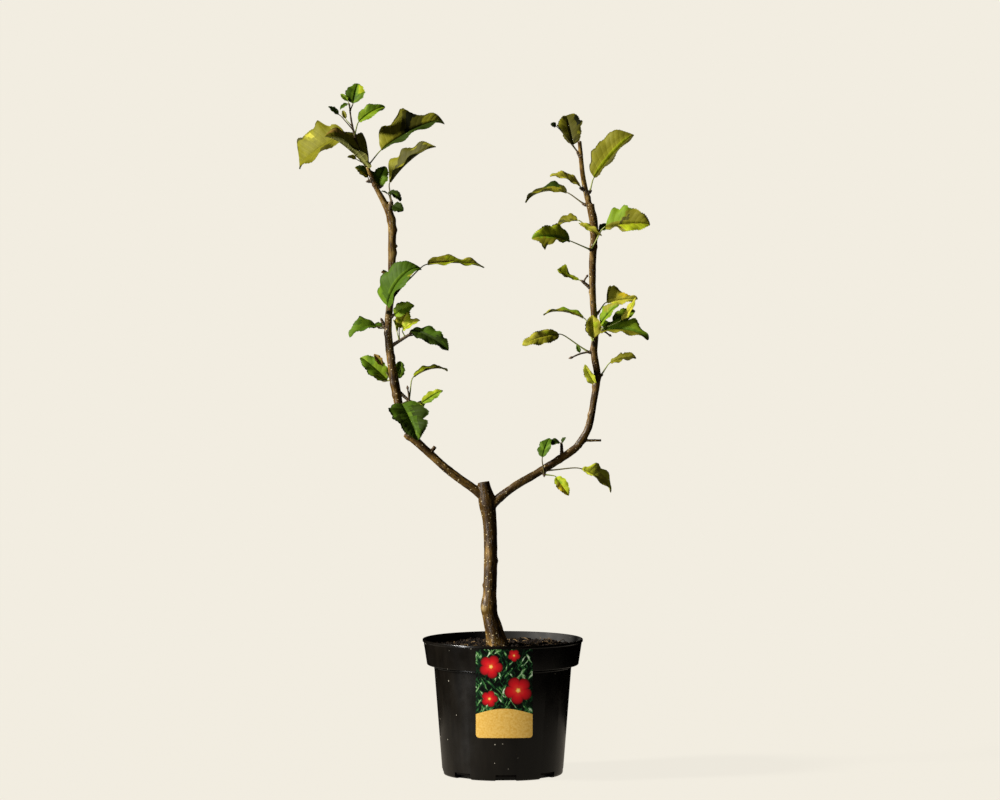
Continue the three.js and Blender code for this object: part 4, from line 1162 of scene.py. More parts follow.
def add_bud(skin, root, way, length, radius):
    """A pointed bud, as radii at shares of its length."""
    shape = [(0, 0.7), (0.25, 1.0), (0.5, 0.95), (0.75, 0.6), (1, 0.2)]
    add_tube(skin, [root + way * s * length for s, _ in shape], [radius * r for _, r in shape], 8, 1)


def grow_spray(spray, leaves, stalks, spurs):
    """A spur on its limb with its leaves, bare twigs and end bud."""
    stem = spray.stem
    start, _ = point_on(spray.on, spray.axis, spray.at)
    along = direction(stem.aim, stem.lean)
    steps = max(2, round(stem.length / 12))
    places = arc(start, along, across_from(UP, along), stem.length, stem.arch, steps)
    line = smooth_line(places, SPUR_STEPS + 1)
    shares = np.linspace(0, 1, SPUR_STEPS + 1)
    rings = SPUR_RING_OUT * np.cos(shares * stem.length / SPUR_RING_SPACING * math.pi * 2)
    rings += SPUR_FOOT_OUT * np.exp(-shares * stem.length / 5)
    radii = stem.radius + (stem.tip - stem.radius) * shares + rings * min(1, stem.tip / 2)
    add_tube(spurs, line, radii, 12, 0)
    end_way = unit(line[-1] - line[-3])
    add_bud(spurs, line[-1] - end_way * 0.5, end_way, 2 * stem.tip, BUD_RADIUS * stem.tip / 2.1)
    for number, grows in enumerate(spray.grows):
        way = direction(grows.aim, grows.lean)
        if isinstance(grows, Twig):
            root = line[round(TWIG_SPRING * SPUR_STEPS)]
            bend = across_from(UP, way) * 0.05 * grows.length
            shares = np.linspace(0, 1, 7)
            twig = [root + way * s * grows.length * 0.86 + bend * math.sin(3 * s) for s in shares]
            add_tube(spurs, twig, np.linspace(*TWIG_RADII, 7), 8, 0)
            add_bud(spurs, twig[-1] - way * 0.6, way, grows.length * 0.14 + 2.5, BUD_RADIUS)
            continue
        chance = random.Random(f"{spray.name} {number}")
        normal = upper_side(way, grows.face)
        base = add_stalk(stalks, grows, line[round(grows.spring * SPUR_STEPS)], way, normal)
        add_blade(leaves, grows, base, way, normal, chance)


def make_foliage(leaf_materials, stalk_materials, spur_materials):
    """The sprays of each arm, with leaves, stalks and spurs as pieces of their own."""
    for side in ("left", "right"):
        leaves, stalks, spurs = Skin(), Skin(), Skin()
        sprays = [spray for spray in SPRAYS if spray.name.startswith(side)]
        for spray in sprays:
            grow_spray(spray, leaves, stalks, spurs)
        nodes = ["spray_" + spray.name for spray in sprays]
        for skin, name, materials, slot in (
            (leaves, "leaves_" + side, leaf_materials, "leaf"),
            (stalks, "stalks_" + side, stalk_materials, "leaf"),
            (spurs, "spurs_" + side, spur_materials, "bark"),
        ):
            piece = skin.to_object(name, materials)
            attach(piece, "root")
            if skin is leaves:
                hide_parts(*nodes)


# Pot, compost and card: radii, heights above the ground, widths and thicknesses. SLOT_INNER is the radius
# where the drain slots start, SLOT_TURN the angle of the first one, and CARD_BOW the radius that the card is
# bowed to.
POT_SIDES = 144
POT_HEIGHT = 197.0
LIP_RADIUS = 116.5
COLLAR_FOOT = 160.0
COLLAR_FOOT_RADIUS = 110.0
BODY_TOP_RADIUS = 100.0
BODY_FOOT_RADIUS = 87.5
FLOOR = 6.0
WALL = 2.0
DRAIN_SLOTS = 8
SLOT_WIDTH = 30.0
SLOT_HEIGHT = 9.0
SLOT_INNER = 76.0
SLOT_TURN = -87.0
SOIL_RADIUS = 111.0
CARD_X = 2.0
CARD_WIDTH = 81.0
CARD_FOOT = 66.0
CARD_CORNER = 5.0
CARD_BOW = 240.0
CARD_THICKNESS = 0.8
CARD_TOP = POT_HEIGHT - 4.4
CARD_FRONT = -(LIP_RADIUS - 1.5) - 0.3 - CARD_THICKNESS


def filleted(corners, steps=6):
    """An outline of radius and height with each corner, given as x, z and fillet radius, rounded."""
    found = []
    for i, (x, z, radius) in enumerate(corners):
        here = np.array([x, z], float)
        if not radius or i in (0, len(corners) - 1):
            found.append(here)
            continue
        to_last = unit(np.array(corners[i - 1][:2]) - here)
        to_next = unit(np.array(corners[i + 1][:2]) - here)
        half = math.acos(np.clip(to_last @ to_next, -1, 1)) / 2
        reach = radius / math.tan(half)
        centre = here + unit(to_last + to_next) * radius / math.sin(half)
        start, end = here + to_last * reach - centre, here + to_next * reach - centre
        turn = math.atan2(start[0] * end[1] - start[1] * end[0], start @ end)
        for s in np.linspace(0, turn, steps):
            cos, sin = math.cos(s), math.sin(s)
            found.append(centre + (start[0] * cos - start[1] * sin, start[0] * sin + start[1] * cos))
    return found


def turned_skin(profile, sides):
    """A solid of revolution about Z. The profile runs from the axis below, round the outside, to the axis."""
    skin = Skin()
    rings = [p for p in profile if p[0] > 1e-6]
    angles = np.arange(sides) * 2 * math.pi / sides
    points = [(r * math.cos(a), r * math.sin(a), z) for r, z in rings for a in angles]
    points += [(0, 0, profile[0][1]), (0, 0, profile[-1][1])]
    faces = []
    for j in range(sides):
        k = (j + 1) % sides
        for i in range(len(rings) - 1):
            a, b = i * sides, (i + 1) * sides
            faces.append([a + j, a + k, b + k, b + j])
        faces.append([len(points) - 2, k, j])
        last = (len(rings) - 1) * sides
        faces.append([len(points) - 1, last + j, last + k])
    skin.add(points, faces, 0)
    return skin


def slot_blocks():
    """The blocks that cut the drain slots through the pot's foot."""
    cutter = bmesh.new()
    for number in range(DRAIN_SLOTS):
        turn = math.radians(SLOT_TURN + 360 * number / DRAIN_SLOTS)
        cos, sin = math.cos(turn), math.sin(turn)
        for corner in bmesh.ops.create_cube(cutter, size=1)["verts"]:
            x = SLOT_INNER if corner.co.x < 0 else BODY_FOOT_RADIUS + 4
            y = math.copysign(SLOT_WIDTH / 2, corner.co.y)
            z = -1.0 if corner.co.z < 0 else SLOT_HEIGHT
            corner.co = ((x * cos - y * sin) * MM, (x * sin + y * cos) * MM, z * MM)
    blocks = bpy.data.meshes.new("slots")
    cutter.to_mesh(blocks)
    cutter.free()
    return put("slots", blocks)


def make_pot(outer, inner):
    """The thin-walled pot, turned from one outline with small fillets, with its drain slots cut."""
    corners = [
        (0, 0, 0), (28, 0, 0.8), (30, 4, 0.8), (58, 4, 0.8), (60, 0, 0.8), (BODY_FOOT_RADIUS, 0, 4.5),
        (BODY_TOP_RADIUS - 0.3, COLLAR_FOOT - 4, 0.5), (BODY_TOP_RADIUS + 1.3, COLLAR_FOOT - 3, 0.5),
        (BODY_TOP_RADIUS + 1.3, COLLAR_FOOT, 0.5), (COLLAR_FOOT_RADIUS, COLLAR_FOOT, 1.4),
        (LIP_RADIUS - 1.5, POT_HEIGHT - 4.2, 1.0), (LIP_RADIUS, POT_HEIGHT - 3.2, 0.5),
        (LIP_RADIUS, POT_HEIGHT, 0.9), (LIP_RADIUS - 3, POT_HEIGHT, 0.9),
        (COLLAR_FOOT_RADIUS - WALL, COLLAR_FOOT + 4, 1.2), (BODY_TOP_RADIUS - WALL, COLLAR_FOOT + 3, 1.2),
        (BODY_FOOT_RADIUS - WALL, FLOOR, 2.0), (0, FLOOR, 0),
    ]
    shell = turned_skin(filleted(corners), POT_SIDES).to_object("shell", [outer, inner])
    tool = slot_blocks()
    cut = shell.modifiers.new("slots", "BOOLEAN")
    cut.object = tool
    cut.operation = "DIFFERENCE"
    cut.solver = "EXACT"
    mesh = evaluated_mesh(shell)
    for face in mesh.polygons:
        inwards = face.normal.x * face.center.x + face.normal.y * face.center.y < 0
        if inwards and face.center.z > FLOOR * MM:
            face.material_index = 1
    mesh.set_sharp_from_angle(angle=math.radians(40))
    pot = put("pot_shell", mesh)
    bpy.data.objects.remove(shell)
    bpy.data.objects.remove(tool)
    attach(pot, "root")
    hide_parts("pot")


def soil_height(x, y):
    """Low mounds of the compost, flat at the pot's wall and a little higher round the stem."""
    r = math.hypot(x, y)
    mound = noise.noise((x / 34, y / 34, 0.3)) * 3.0 + noise.noise((x / 11, y / 11, 2.3)) * 1.6
    mound += noise.noise((x / 4.5, y / 4.5, 5.1)) * 0.9
    calm = min(1.0, (LIP_RADIUS - 0.5 - r) / 12)
    return SOIL_LEVEL + mound * calm + 2.0 * math.exp(-((r / 40) ** 2)) - 0.5


def scatter_tree(name, make_shape, material):
    """Strews copies of a small shape over the upward faces of a mesh, turned and sized at random."""
    sockets = dict.fromkeys(["Density", "Least size", "Greatest size", "Tilt"], "Float") | {"Seed": "Int"}
    tree, given = new_tree(name, sockets)
    seed = given["Seed"]
    normal = add_node(tree, "GeometryNodeInputNormal")
    parts = add_node(tree, "ShaderNodeSeparateXYZ", {0: normal})
    upward = add_node(tree, "ShaderNodeMath", {0: parts.outputs[2], 1: 0.4}, operation="GREATER_THAN")
    strewn = add_node(
        tree, "GeometryNodeDistributePointsOnFaces",
        {"Mesh": given["Geometry"], "Selection": upward, "Density": given["Density"], "Seed": seed},
    )
    most = add_node(tree, "ShaderNodeCombineXYZ", {0: given["Tilt"], 1: given["Tilt"], 2: math.pi})
    least = add_node(tree, "ShaderNodeVectorMath", {0: most, "Scale": -1.0}, operation="SCALE")
    spread = {0: least, 1: most, "Seed": seed}
    turn = add_node(tree, "FunctionNodeRandomValue", spread, data_type="FLOAT_VECTOR")
    spread = {2: given["Least size"], 3: given["Greatest size"], "Seed": seed}
    size = add_node(tree, "FunctionNodeRandomValue", spread, data_type="FLOAT")
    placed = add_node(
        tree, "GeometryNodeInstanceOnPoints",
        {"Points": strewn, "Instance": make_shape(tree), "Rotation": turn, "Scale": size},
    )
    return end_tree(tree, placed, material)


def crumb_shape(tree):
    """A lump of compost 2 mm across: a coarse ball pushed about by noise."""
    ball = add_node(tree, "GeometryNodeMeshIcoSphere", {"Radius": 1.0 * MM, "Subdivisions": 2})
    place = add_node(tree, "GeometryNodeInputPosition")
    wobble = add_node(tree, "ShaderNodeTexNoise", {"Vector": place, "Scale": 900.0, "Detail": 1.0})
    centred = add_node(
        tree, "ShaderNodeVectorMath", {0: wobble.outputs["Color"], 1: (0.5, 0.5, 0.5)}, operation="SUBTRACT"
    )
    offset = add_node(tree, "ShaderNodeVectorMath", {0: centred, "Scale": 1.6 * MM}, operation="SCALE")
    return add_node(tree, "GeometryNodeSetPosition", {"Geometry": ball, "Offset": offset})


def fibre_shape(tree):
    """A bent root fibre 14 mm long and 0.7 mm thick."""
    line = add_node(
        tree, "GeometryNodeCurvePrimitiveBezierSegment",
        {
            "Resolution": 8,
            "Start": (-7 * MM, 0, 0),
            "Start Handle": (-3 * MM, 3.5 * MM, 1.5 * MM),
            "End Handle": (2 * MM, -4 * MM, 2.5 * MM),
            "End": (7 * MM, 0.5 * MM, 0),
        },
    )
    ring = add_node(tree, "GeometryNodeCurvePrimitiveCircle", {"Resolution": 5, "Radius": 0.35 * MM})
    shape = {"Curve": line, "Profile Curve": ring, "Fill Caps": True}
    return add_node(tree, "GeometryNodeCurveToMesh", shape)


# What is strewn on the compost: pieces per square metre, the random seed, sizes as shares of the first
# shape, and the greatest tilt in radians.
CRUMBS = dict(Density=36000.0, Seed=4, Least_size=0.5, Greatest_size=2.8, Tilt=3.1)
FIBRES = dict(Density=2400.0, Seed=11, Least_size=0.4, Greatest_size=1.7, Tilt=0.6)


def make_compost(soil, crumb, fibre):
    """The filled inside of the pot, with crumbs and root fibres strewn on top."""
    gap = WALL + 0.5
    profile = [
        (0, FLOOR + 0.3), (BODY_FOOT_RADIUS - gap, FLOOR + 0.3), (BODY_TOP_RADIUS - gap, COLLAR_FOOT + 3.3),
        (COLLAR_FOOT_RADIUS - gap, COLLAR_FOOT + 4.6), (SOIL_RADIUS + 0.2, SOIL_LEVEL - 3),
    ]
    profile += [(r, SOIL_LEVEL) for r in np.linspace(SOIL_RADIUS, 3, 44)] + [(0, SOIL_LEVEL)]
    body = turned_skin(profile, 110)
    for point in body.points[0]:
        if point[2] > SOIL_LEVEL - 0.5:
            point[2] = soil_height(point[0], point[1])
    filling = body.to_object("compost_filling", [soil])
    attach(filling, "root")
    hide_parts("compost")
    for name, shape, material, values in (
        ("compost_crumbs", crumb_shape, crumb, CRUMBS),
        ("root_fibres", fibre_shape, fibre, FIBRES),
    ):
        piece = grown(filling, scatter_tree(name, shape, material), name, **values)
        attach(piece, "root")


def make_card(material):
    """A thin bowed card with rounded lower corners, stuck to the collar with its top edge under the lip."""
    rounds = [CARD_CORNER * (1 - math.cos(a)) for a in np.linspace(0, math.pi / 2, 9)]
    heights = [CARD_FOOT + h for h in rounds]
    heights += [*np.linspace(CARD_FOOT + 8, CARD_TOP - 1.2, 22), CARD_TOP]
    shares = np.linspace(-1, 1, 33)
    front, back = [], []
    for height in heights:
        up = min(height - CARD_FOOT, CARD_CORNER)
        inset = CARD_CORNER - math.sqrt(max(CARD_CORNER**2 - (CARD_CORNER - up) ** 2, 0))
        for x in shares * (CARD_WIDTH / 2 - inset):
            y = CARD_FRONT + x * x / (2 * CARD_BOW)
            front.append((x + CARD_X, y, height))
            back.append((x + CARD_X, y + CARD_THICKNESS, height))
    wide, count = len(shares), len(front)
    faces = []
    for i in range(len(heights) - 1):
        for j in range(wide - 1):
            a = i * wide + j
            faces.append([a, a + 1, a + 1 + wide, a + wide])
            faces.append([count + a + wide, count + a + 1 + wide, count + a + 1, count + a])
        left, right = i * wide, i * wide + wide - 1
        faces.append([left, left + wide, count + left + wide, count + left])
        faces.append([right + wide, right, count + right, count + right + wide])
    top = (len(heights) - 1) * wide
    for j in range(wide - 1):
        faces.append([j + 1, j, count + j, count + j + 1])
        faces.append([top + j, top + j + 1, count + top + j + 1, count + top + j])
    skin = Skin()
    skin.add(front + back, faces, 0)

    card = skin.to_object("card", [material])
    card.data.set_sharp_from_angle(angle=math.radians(35))
    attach(card, "root")
    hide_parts("picture_card")


# Materials

def object_place(tree, stretch=1):
    """Object coordinates in millimetres, drawn out upwards by a stretch under 1."""
    place = add_node(tree, "ShaderNodeTexCoord").outputs["Object"]
    scales = tuple(s * 1000 for s in (1, 1, stretch))
    return add_node(tree, "ShaderNodeVectorMath", {0: place, 1: scales}, operation="MULTIPLY")


def leaf_surface(name, code, roughness, spread, specular):
    """Apple leaf. Its upper side is a waxy, faintly glossy skin, and its underside is downy and matt, both
    mottled over 9 mm and quilted by a net of fine veins. The net is drawn 2.4 mm wide, coarser than life,
    so that it shows."""
    material, tree, shader = start_material(name, Roughness=roughness, Specular_IOR_Level=specular)
    place = object_place(tree)
    mottle = add_node(tree, "ShaderNodeTexNoise", {"Vector": place, "Scale": 1 / 9, "Detail": 3.0})
    level = add_node(
        tree, "ShaderNodeMapRange",
        {"Value": mottle, "From Min": 0.3, "From Max": 0.7, "To Min": 1 - spread, "To Max": 1 + spread},
    )
    toned = add_node(tree, "ShaderNodeHueSaturation", {"Color": linear(code), "Value": level})
    net = add_node(
        tree, "ShaderNodeTexVoronoi", {"Vector": place, "Scale": 1 / 2.4}, feature="DISTANCE_TO_EDGE"
    )
    rounded = add_node(tree, "ShaderNodeMath", {0: net, 1: 0.18}, operation="MINIMUM")
    bump = add_node(tree, "ShaderNodeBump", {"Height": rounded, "Strength": 0.35, "Distance": 0.6 * MM})
    fill_inputs(tree, shader, {"Base Color": toned, "Normal": bump})
    return material


def leaf_finishes():
    """Upper side, underside, side veins and midrib of each tint, in the order of the tints."""
    made = []
    for tint, codes in TINTS.items():
        for code, part, roughness, spread, specular in zip(
            codes,
            ("waxy upper side", "downy underside", "side veins", "midrib"),
            (0.58, 0.8, 0.6, 0.65),
            (0.16, 0.08, 0.1, 0.05),
            (0.1, 0.1, 0.1, 0.2),
        ):
            made.append(leaf_surface(f"apple leaf, {tint}, {part}", code, roughness, spread, specular))
    return made


def stalk_finish(name, code):
    """Leaf stalk: a downy green or sun-browned skin with faint streaks 3 mm across."""
    material, tree, shader = start_material(name, Roughness=0.55)
    place = object_place(tree)
    streak = add_node(tree, "ShaderNodeTexNoise", {"Vector": place, "Scale": 1 / 3, "Detail": 2.0})
    level = add_node(tree, "ShaderNodeMapRange", {"Value": streak, "To Min": 0.8, "To Max": 1.2})
    toned = add_node(tree, "ShaderNodeHueSaturation", {"Color": linear(code), "Value": level})
    fill_inputs(tree, shader, {"Base Color": toned})
    return material


SCAR_PLACE = (-27, -8, 242)


def bark_finish():
    """Young apple bark: a thin olive-brown skin with grey patches, dark long cracks, and pale pores 1 mm
    across. The shoots of the last two years are smoother and purple-brown with a soft shine."""
    material, tree, shader = start_material("apple bark", Specular_IOR_Level=0.28)
    grain = add_node(tree, "ShaderNodeAttribute", attribute_name="grain").outputs["Vector"]
    young = add_node(tree, "ShaderNodeAttribute", attribute_name="young").outputs["Fac"]
    patches = grain_noise(tree, grain, 9, 0.35, 3.0)
    streaks = grain_noise(tree, grain, 6, 0.3, 3.0)
    lines = grain_noise(tree, grain, 1.6, 0.16, 3.0)
    old = add_node(
        tree, "ShaderNodeValToRGB", {0: patches},
        stops=[(0.3, "#261706"), (0.45, "#3e2b0d"), (0.57, "#574017"), (0.7, "#82632e")],
    )
    shoot = add_node(
        tree, "ShaderNodeValToRGB", {0: streaks},
        stops=[(0.3, "#40290f"), (0.5, "#765a2a"), (0.68, "#ae9252")],
    )
    skin = add_node(tree, "ShaderNodeMix", {"Factor": young, "A": old, "B": shoot}, data_type="RGBA")
    crack = add_node(tree, "ShaderNodeMapRange", {"Value": lines, "From Min": 0.32, "From Max": 0.44})
    scales = (1000 / 6, 1000 / 6, 1000 / 5)
    spaced = add_node(tree, "ShaderNodeVectorMath", {0: grain, 1: scales}, operation="MULTIPLY")
    pores = add_node(tree, "ShaderNodeTexVoronoi", {"Vector": spaced, "Scale": 1.0})
    pore = add_node(
        tree, "ShaderNodeMapRange",
        {"Value": pores, "From Min": 0.12, "From Max": 0.2, "To Min": 1.0, "To Max": 0.0},
    )
    # A pale rubbed scar 10 mm across on the left of the old graft.
    place = object_place(tree)
    away = add_node(tree, "ShaderNodeVectorMath", {0: place, 1: SCAR_PLACE}, operation="DISTANCE")
    scar = add_node(
        tree, "ShaderNodeMapRange",
        {"Value": away, "From Min": 2.5, "From Max": 6.5, "To Min": 0.7, "To Max": 0.0},
    )
    layers = {"Factor": crack, "A": linear("#1d150b"), "B": skin}
    shown = add_node(tree, "ShaderNodeMix", layers, data_type="RGBA")
    for factor, code in ((pore, "#bba87a"), (scar, "#a8905c")):
        layers = {"Factor": factor, "A": shown, "B": linear(code)}
        shown = add_node(tree, "ShaderNodeMix", layers, data_type="RGBA")
    gloss = add_node(tree, "ShaderNodeMapRange", {"Value": young, "To Min": 0.4, "To Max": 0.28})
    height = add_node(tree, "ShaderNodeMath", {0: crack, 1: pore}, operation="ADD")
    bump = add_node(tree, "ShaderNodeBump", {"Height": height, "Strength": 0.6, "Distance": 0.5 * MM})
    fill_inputs(tree, shader, {"Base Color": shown, "Roughness": gloss, "Normal": bump})
    return material


def grained_finish(name, size, detail, stops, bump, **values):
    """A surface of dark and light grains of a size in millimetres, with the dark ones lower: the wrinkled
    bark of spurs and bud scales, and peat compost, nearly black when damp, with browner dry grains."""
    material, tree, shader = start_material(name, **values)
    place = object_place(tree)
    grains = add_node(tree, "ShaderNodeTexNoise", {"Vector": place, "Scale": 1 / size, "Detail": detail})
    shown = add_node(tree, "ShaderNodeValToRGB", {0: grains}, stops=stops)
    strength, depth = bump
    relief = {"Height": grains, "Strength": strength, "Distance": depth * MM}
    raised = add_node(tree, "ShaderNodeBump", relief)
    fill_inputs(tree, shader, {"Base Color": shown, "Normal": raised})
    return material


def spur_finish(name, dark, light, roughness):
    """Fruit spurs and bud scales: dull wrinkled bark, darker in its folds."""
    return grained_finish(name, 2.0, 3.0, [(0.35, dark), (0.65, light)], (0.6, 0.6), Roughness=roughness)


def soil_finish(name, dark, light, size):
    """Compost and dead roots: quite dull, nearly black where damp, with browner dry grains."""
    stops = [(0.35, dark), (0.68, light)]
    return grained_finish(name, size, 4.0, stops, (0.8, 1.0), Roughness=0.95, Specular_IOR_Level=0.2)


def pot_finish(name, least, greatest):
    """Black recycled polypropylene, injection moulded: a satin skin with faint flow marks, dull rubbed
    patches, and specks of pale dust 1 mm across. Inside it is dusty and matt."""
    material, tree, shader = start_material(name, IOR=1.49, Specular_IOR_Level=0.37)
    place, drawn = object_place(tree), object_place(tree, 0.2)
    flow = add_node(tree, "ShaderNodeTexNoise", {"Vector": drawn, "Scale": 1 / 14, "Detail": 4.0})
    rubs = {"Vector": place, "Scale": 1 / 38, "Detail": 5.0, "Roughness": 0.6}
    rub = add_node(tree, "ShaderNodeTexNoise", rubs)
    gloss = add_node(
        tree, "ShaderNodeMapRange",
        {"Value": rub, "From Min": 0.35, "From Max": 0.7, "To Min": least, "To Max": greatest},
    )
    plastic = add_node(tree, "ShaderNodeValToRGB", {0: flow}, stops=[(0.35, "#090705"), (0.65, "#120f0b")])
    # Three in ten of the pattern's cells have their speck.
    specks = add_node(tree, "ShaderNodeTexVoronoi", {"Vector": place, "Scale": 1 / 11, "Randomness": 1.0})
    speck = add_node(
        tree, "ShaderNodeMapRange",
        {"Value": specks, "From Min": 0.05, "From Max": 0.09, "To Min": 1.0, "To Max": 0.0},
    )
    chosen = add_node(tree, "ShaderNodeSeparateColor", {0: specks.outputs["Color"]})
    rare = add_node(tree, "ShaderNodeMath", {0: chosen, 1: 0.7}, operation="GREATER_THAN")
    dust = add_node(tree, "ShaderNodeMath", {0: speck, 1: rare}, operation="MULTIPLY")
    dusty = {"Factor": dust, "A": plastic, "B": linear("#b7b0a0")}
    shown = add_node(tree, "ShaderNodeMix", dusty, data_type="RGBA")
    bump = add_node(tree, "ShaderNodeBump", {"Height": flow, "Strength": 0.15, "Distance": 0.4 * MM})
    fill_inputs(tree, shader, {"Base Color": shown, "Roughness": gloss, "Normal": bump})
    return material


# The card's picture: the height of its plain panel and the rise of the panel's arch, the width and length
# of the blades in the leafy ground, and each blossom's place across and up, radius and turn.
PANEL_HEIGHT = 38.0
PANEL_RISE = 8.0
PRINTED_WIDTH = 4.5
PRINTED_LENGTH = 16.0
BLOSSOMS = [(-19, 168, 17, 0.3), (20, 134, 20, 1.1), (-21, 122, 12, 0.0), (14, 184, 9, 0.7)]


def card_finish():
    """Laminated printed card: a glossy film over a dark leafy ground with red blossoms, above a plain
    kraft-coloured panel with an arched top."""
    material, tree, shader = start_material("laminated printed card", Roughness=0.32, IOR=1.5)
    place = object_place(tree)
    parts = add_node(tree, "ShaderNodeSeparateXYZ", {0: place})
    across = add_node(tree, "ShaderNodeMath", {0: parts.outputs[0], 1: CARD_X}, operation="SUBTRACT")
    height = parts.outputs[2]
    flat = add_node(tree, "ShaderNodeCombineXYZ", {0: across, 1: height})
    # Two layers of long blades that lean to the left and to the right.
    blades = []
    for lean in (1, -1):
        wide = (0.8 / PRINTED_WIDTH, -0.6 * lean / PRINTED_WIDTH, 0)
        long = (0.6 * lean / PRINTED_LENGTH, 0.8 / PRINTED_LENGTH, 0)
        side = add_node(tree, "ShaderNodeVectorMath", {0: flat, 1: wide}, operation="DOT_PRODUCT")
        along = add_node(tree, "ShaderNodeVectorMath", {0: flat, 1: long}, operation="DOT_PRODUCT")
        spot = add_node(tree, "ShaderNodeCombineXYZ", {0: side, 1: along, 2: lean * 7.0})
        settings = {"Vector": spot, "Scale": 1.0, "Detail": 3.0, "Distortion": 0.8}
        blades.append(add_node(tree, "ShaderNodeTexNoise", settings))
    leafy = add_node(tree, "ShaderNodeMath", {0: blades[0], 1: blades[1]}, operation="MAXIMUM")
    picture = add_node(
        tree, "ShaderNodeValToRGB", {0: leafy},
        stops=[(0.5, "#030503"), (0.57, "#0c2a15"), (0.62, "#24582a"), (0.67, "#6f9f5c"), (0.72, "#dfe8d2")],
    )
    # A blossom has five petals: its edge is nearer the middle where they meet.
    for x, z, radius, turn in BLOSSOMS:
        arm = add_node(tree, "ShaderNodeVectorMath", {0: flat, 1: (x, z, 0)}, operation="SUBTRACT")
        far = add_node(tree, "ShaderNodeVectorMath", {0: arm}, operation="LENGTH")
        ends = add_node(tree, "ShaderNodeSeparateXYZ", {0: arm})
        dx, dz, _ = ends.outputs
        angle = add_node(tree, "ShaderNodeMath", {0: dz, 1: dx}, operation="ARCTAN2")
        phase = add_node(tree, "ShaderNodeMath", {0: angle, 1: 2.5, 2: turn}, operation="MULTIPLY_ADD")
        wave = add_node(tree, "ShaderNodeMath", {0: phase}, operation="COSINE")
        petals = add_node(tree, "ShaderNodeMath", {0: wave}, operation="ABSOLUTE")
        rounded = add_node(tree, "ShaderNodeMath", {0: petals, 1: 0.5}, operation="POWER")
        edge = add_node(
            tree, "ShaderNodeMath", {0: rounded, 1: radius * 0.34, 2: radius * 0.66}, operation="MULTIPLY_ADD"
        )
        share = add_node(tree, "ShaderNodeMath", {0: far, 1: edge}, operation="DIVIDE")
        petal = add_node(
            tree, "ShaderNodeValToRGB", {0: share},
            stops=[
                (0.0, "#f6dc9a"), (0.14, "#f0b23c"), (0.2, "#d8392a"),
                (0.5, "#d3161f"), (0.85, "#a40f18"), (1.0, "#5a080e"),
            ],
        )
        inside = add_node(
            tree, "ShaderNodeMapRange",
            {"Value": share, "From Min": 0.97, "From Max": 1.03, "To Min": 1.0, "To Max": 0.0},
        )
        layers = {"Factor": inside, "A": picture, "B": petal}
        picture = add_node(tree, "ShaderNodeMix", layers, data_type="RGBA")
    # The panel's upper edge is an arch.
    turn = add_node(tree, "ShaderNodeMath", {0: across, 1: math.pi / CARD_WIDTH}, operation="MULTIPLY")
    arch = add_node(tree, "ShaderNodeMath", {0: turn}, operation="COSINE")
    middle = CARD_FOOT + PANEL_HEIGHT - PANEL_RISE / 2
    edge = add_node(tree, "ShaderNodeMath", {0: arch, 1: PANEL_RISE, 2: middle}, operation="MULTIPLY_ADD")
    below = add_node(tree, "ShaderNodeMath", {0: height, 1: edge}, operation="LESS_THAN")
    paper = add_node(tree, "ShaderNodeTexNoise", {"Vector": place, "Scale": 1 / 2.5, "Detail": 4.0})
    kraft = add_node(tree, "ShaderNodeValToRGB", {0: paper}, stops=[(0.3, "#daa843"), (0.7, "#f0c66c")])
    face = add_node(tree, "ShaderNodeMix", {"Factor": below, "A": picture, "B": kraft}, data_type="RGBA")
    fill_inputs(tree, shader, {"Base Color": face})
    return material


# Stage, light and camera, in metres, degrees and watts. The frame's width is taken at the tree.
CAMERA_PLACE = (-0.004, -6.0, 0.783)
CAMERA_AIM = (-0.004, 0.0, 0.544)
FRAME_WIDTH = 1.45
SENSOR = 36.0
BACKDROP = "#f2ede1"
FLOOR_GLOW = 0.95
SUN_WAY = (0.9, 0.26, -0.48)
SUN_STRENGTH = 6.6
SUN_WIDTH = 9
SUN_COLOUR = (1.0, 0.97, 0.9)
STRIP_PLACE = (-1.3, -0.85, 0.27)
STRIP_WAY = (1.3, 0.85, -0.2)
STRIP_POWER = 12.0
REFLECTOR_RADIUS = 0.42
REFLECTOR_GLOW = 0.35
SURROUND_STRENGTH = 0.085
RAYS = {"camera", "diffuse", "glossy", "transmission", "volume_scatter", "shadow"}


def glow_material(name, code, strength):
    """A surface that only glows, evenly all over."""
    material = bpy.data.materials.new(name)
    material.use_nodes = True
    tree = material.node_tree
    tree.nodes.clear()
    glow = add_node(tree, "ShaderNodeEmission", {"Color": linear(code), "Strength": strength})
    add_node(tree, "ShaderNodeOutputMaterial", {"Surface": glow})
    return material


def set_apart(thing, name, material, hidden):
    """Makes the object just added a part of the stage that some kinds of rays don't meet."""
    thing.name = name
    thing.data.materials.append(material)
    for ray in hidden:
        setattr(thing, "visible_" + ray, False)
    return thing


def turn_to(way):
    """The rotation that turns an object's -Z axis to a direction."""
    return Vector(way).to_track_quat("-Z", "Y").to_euler()


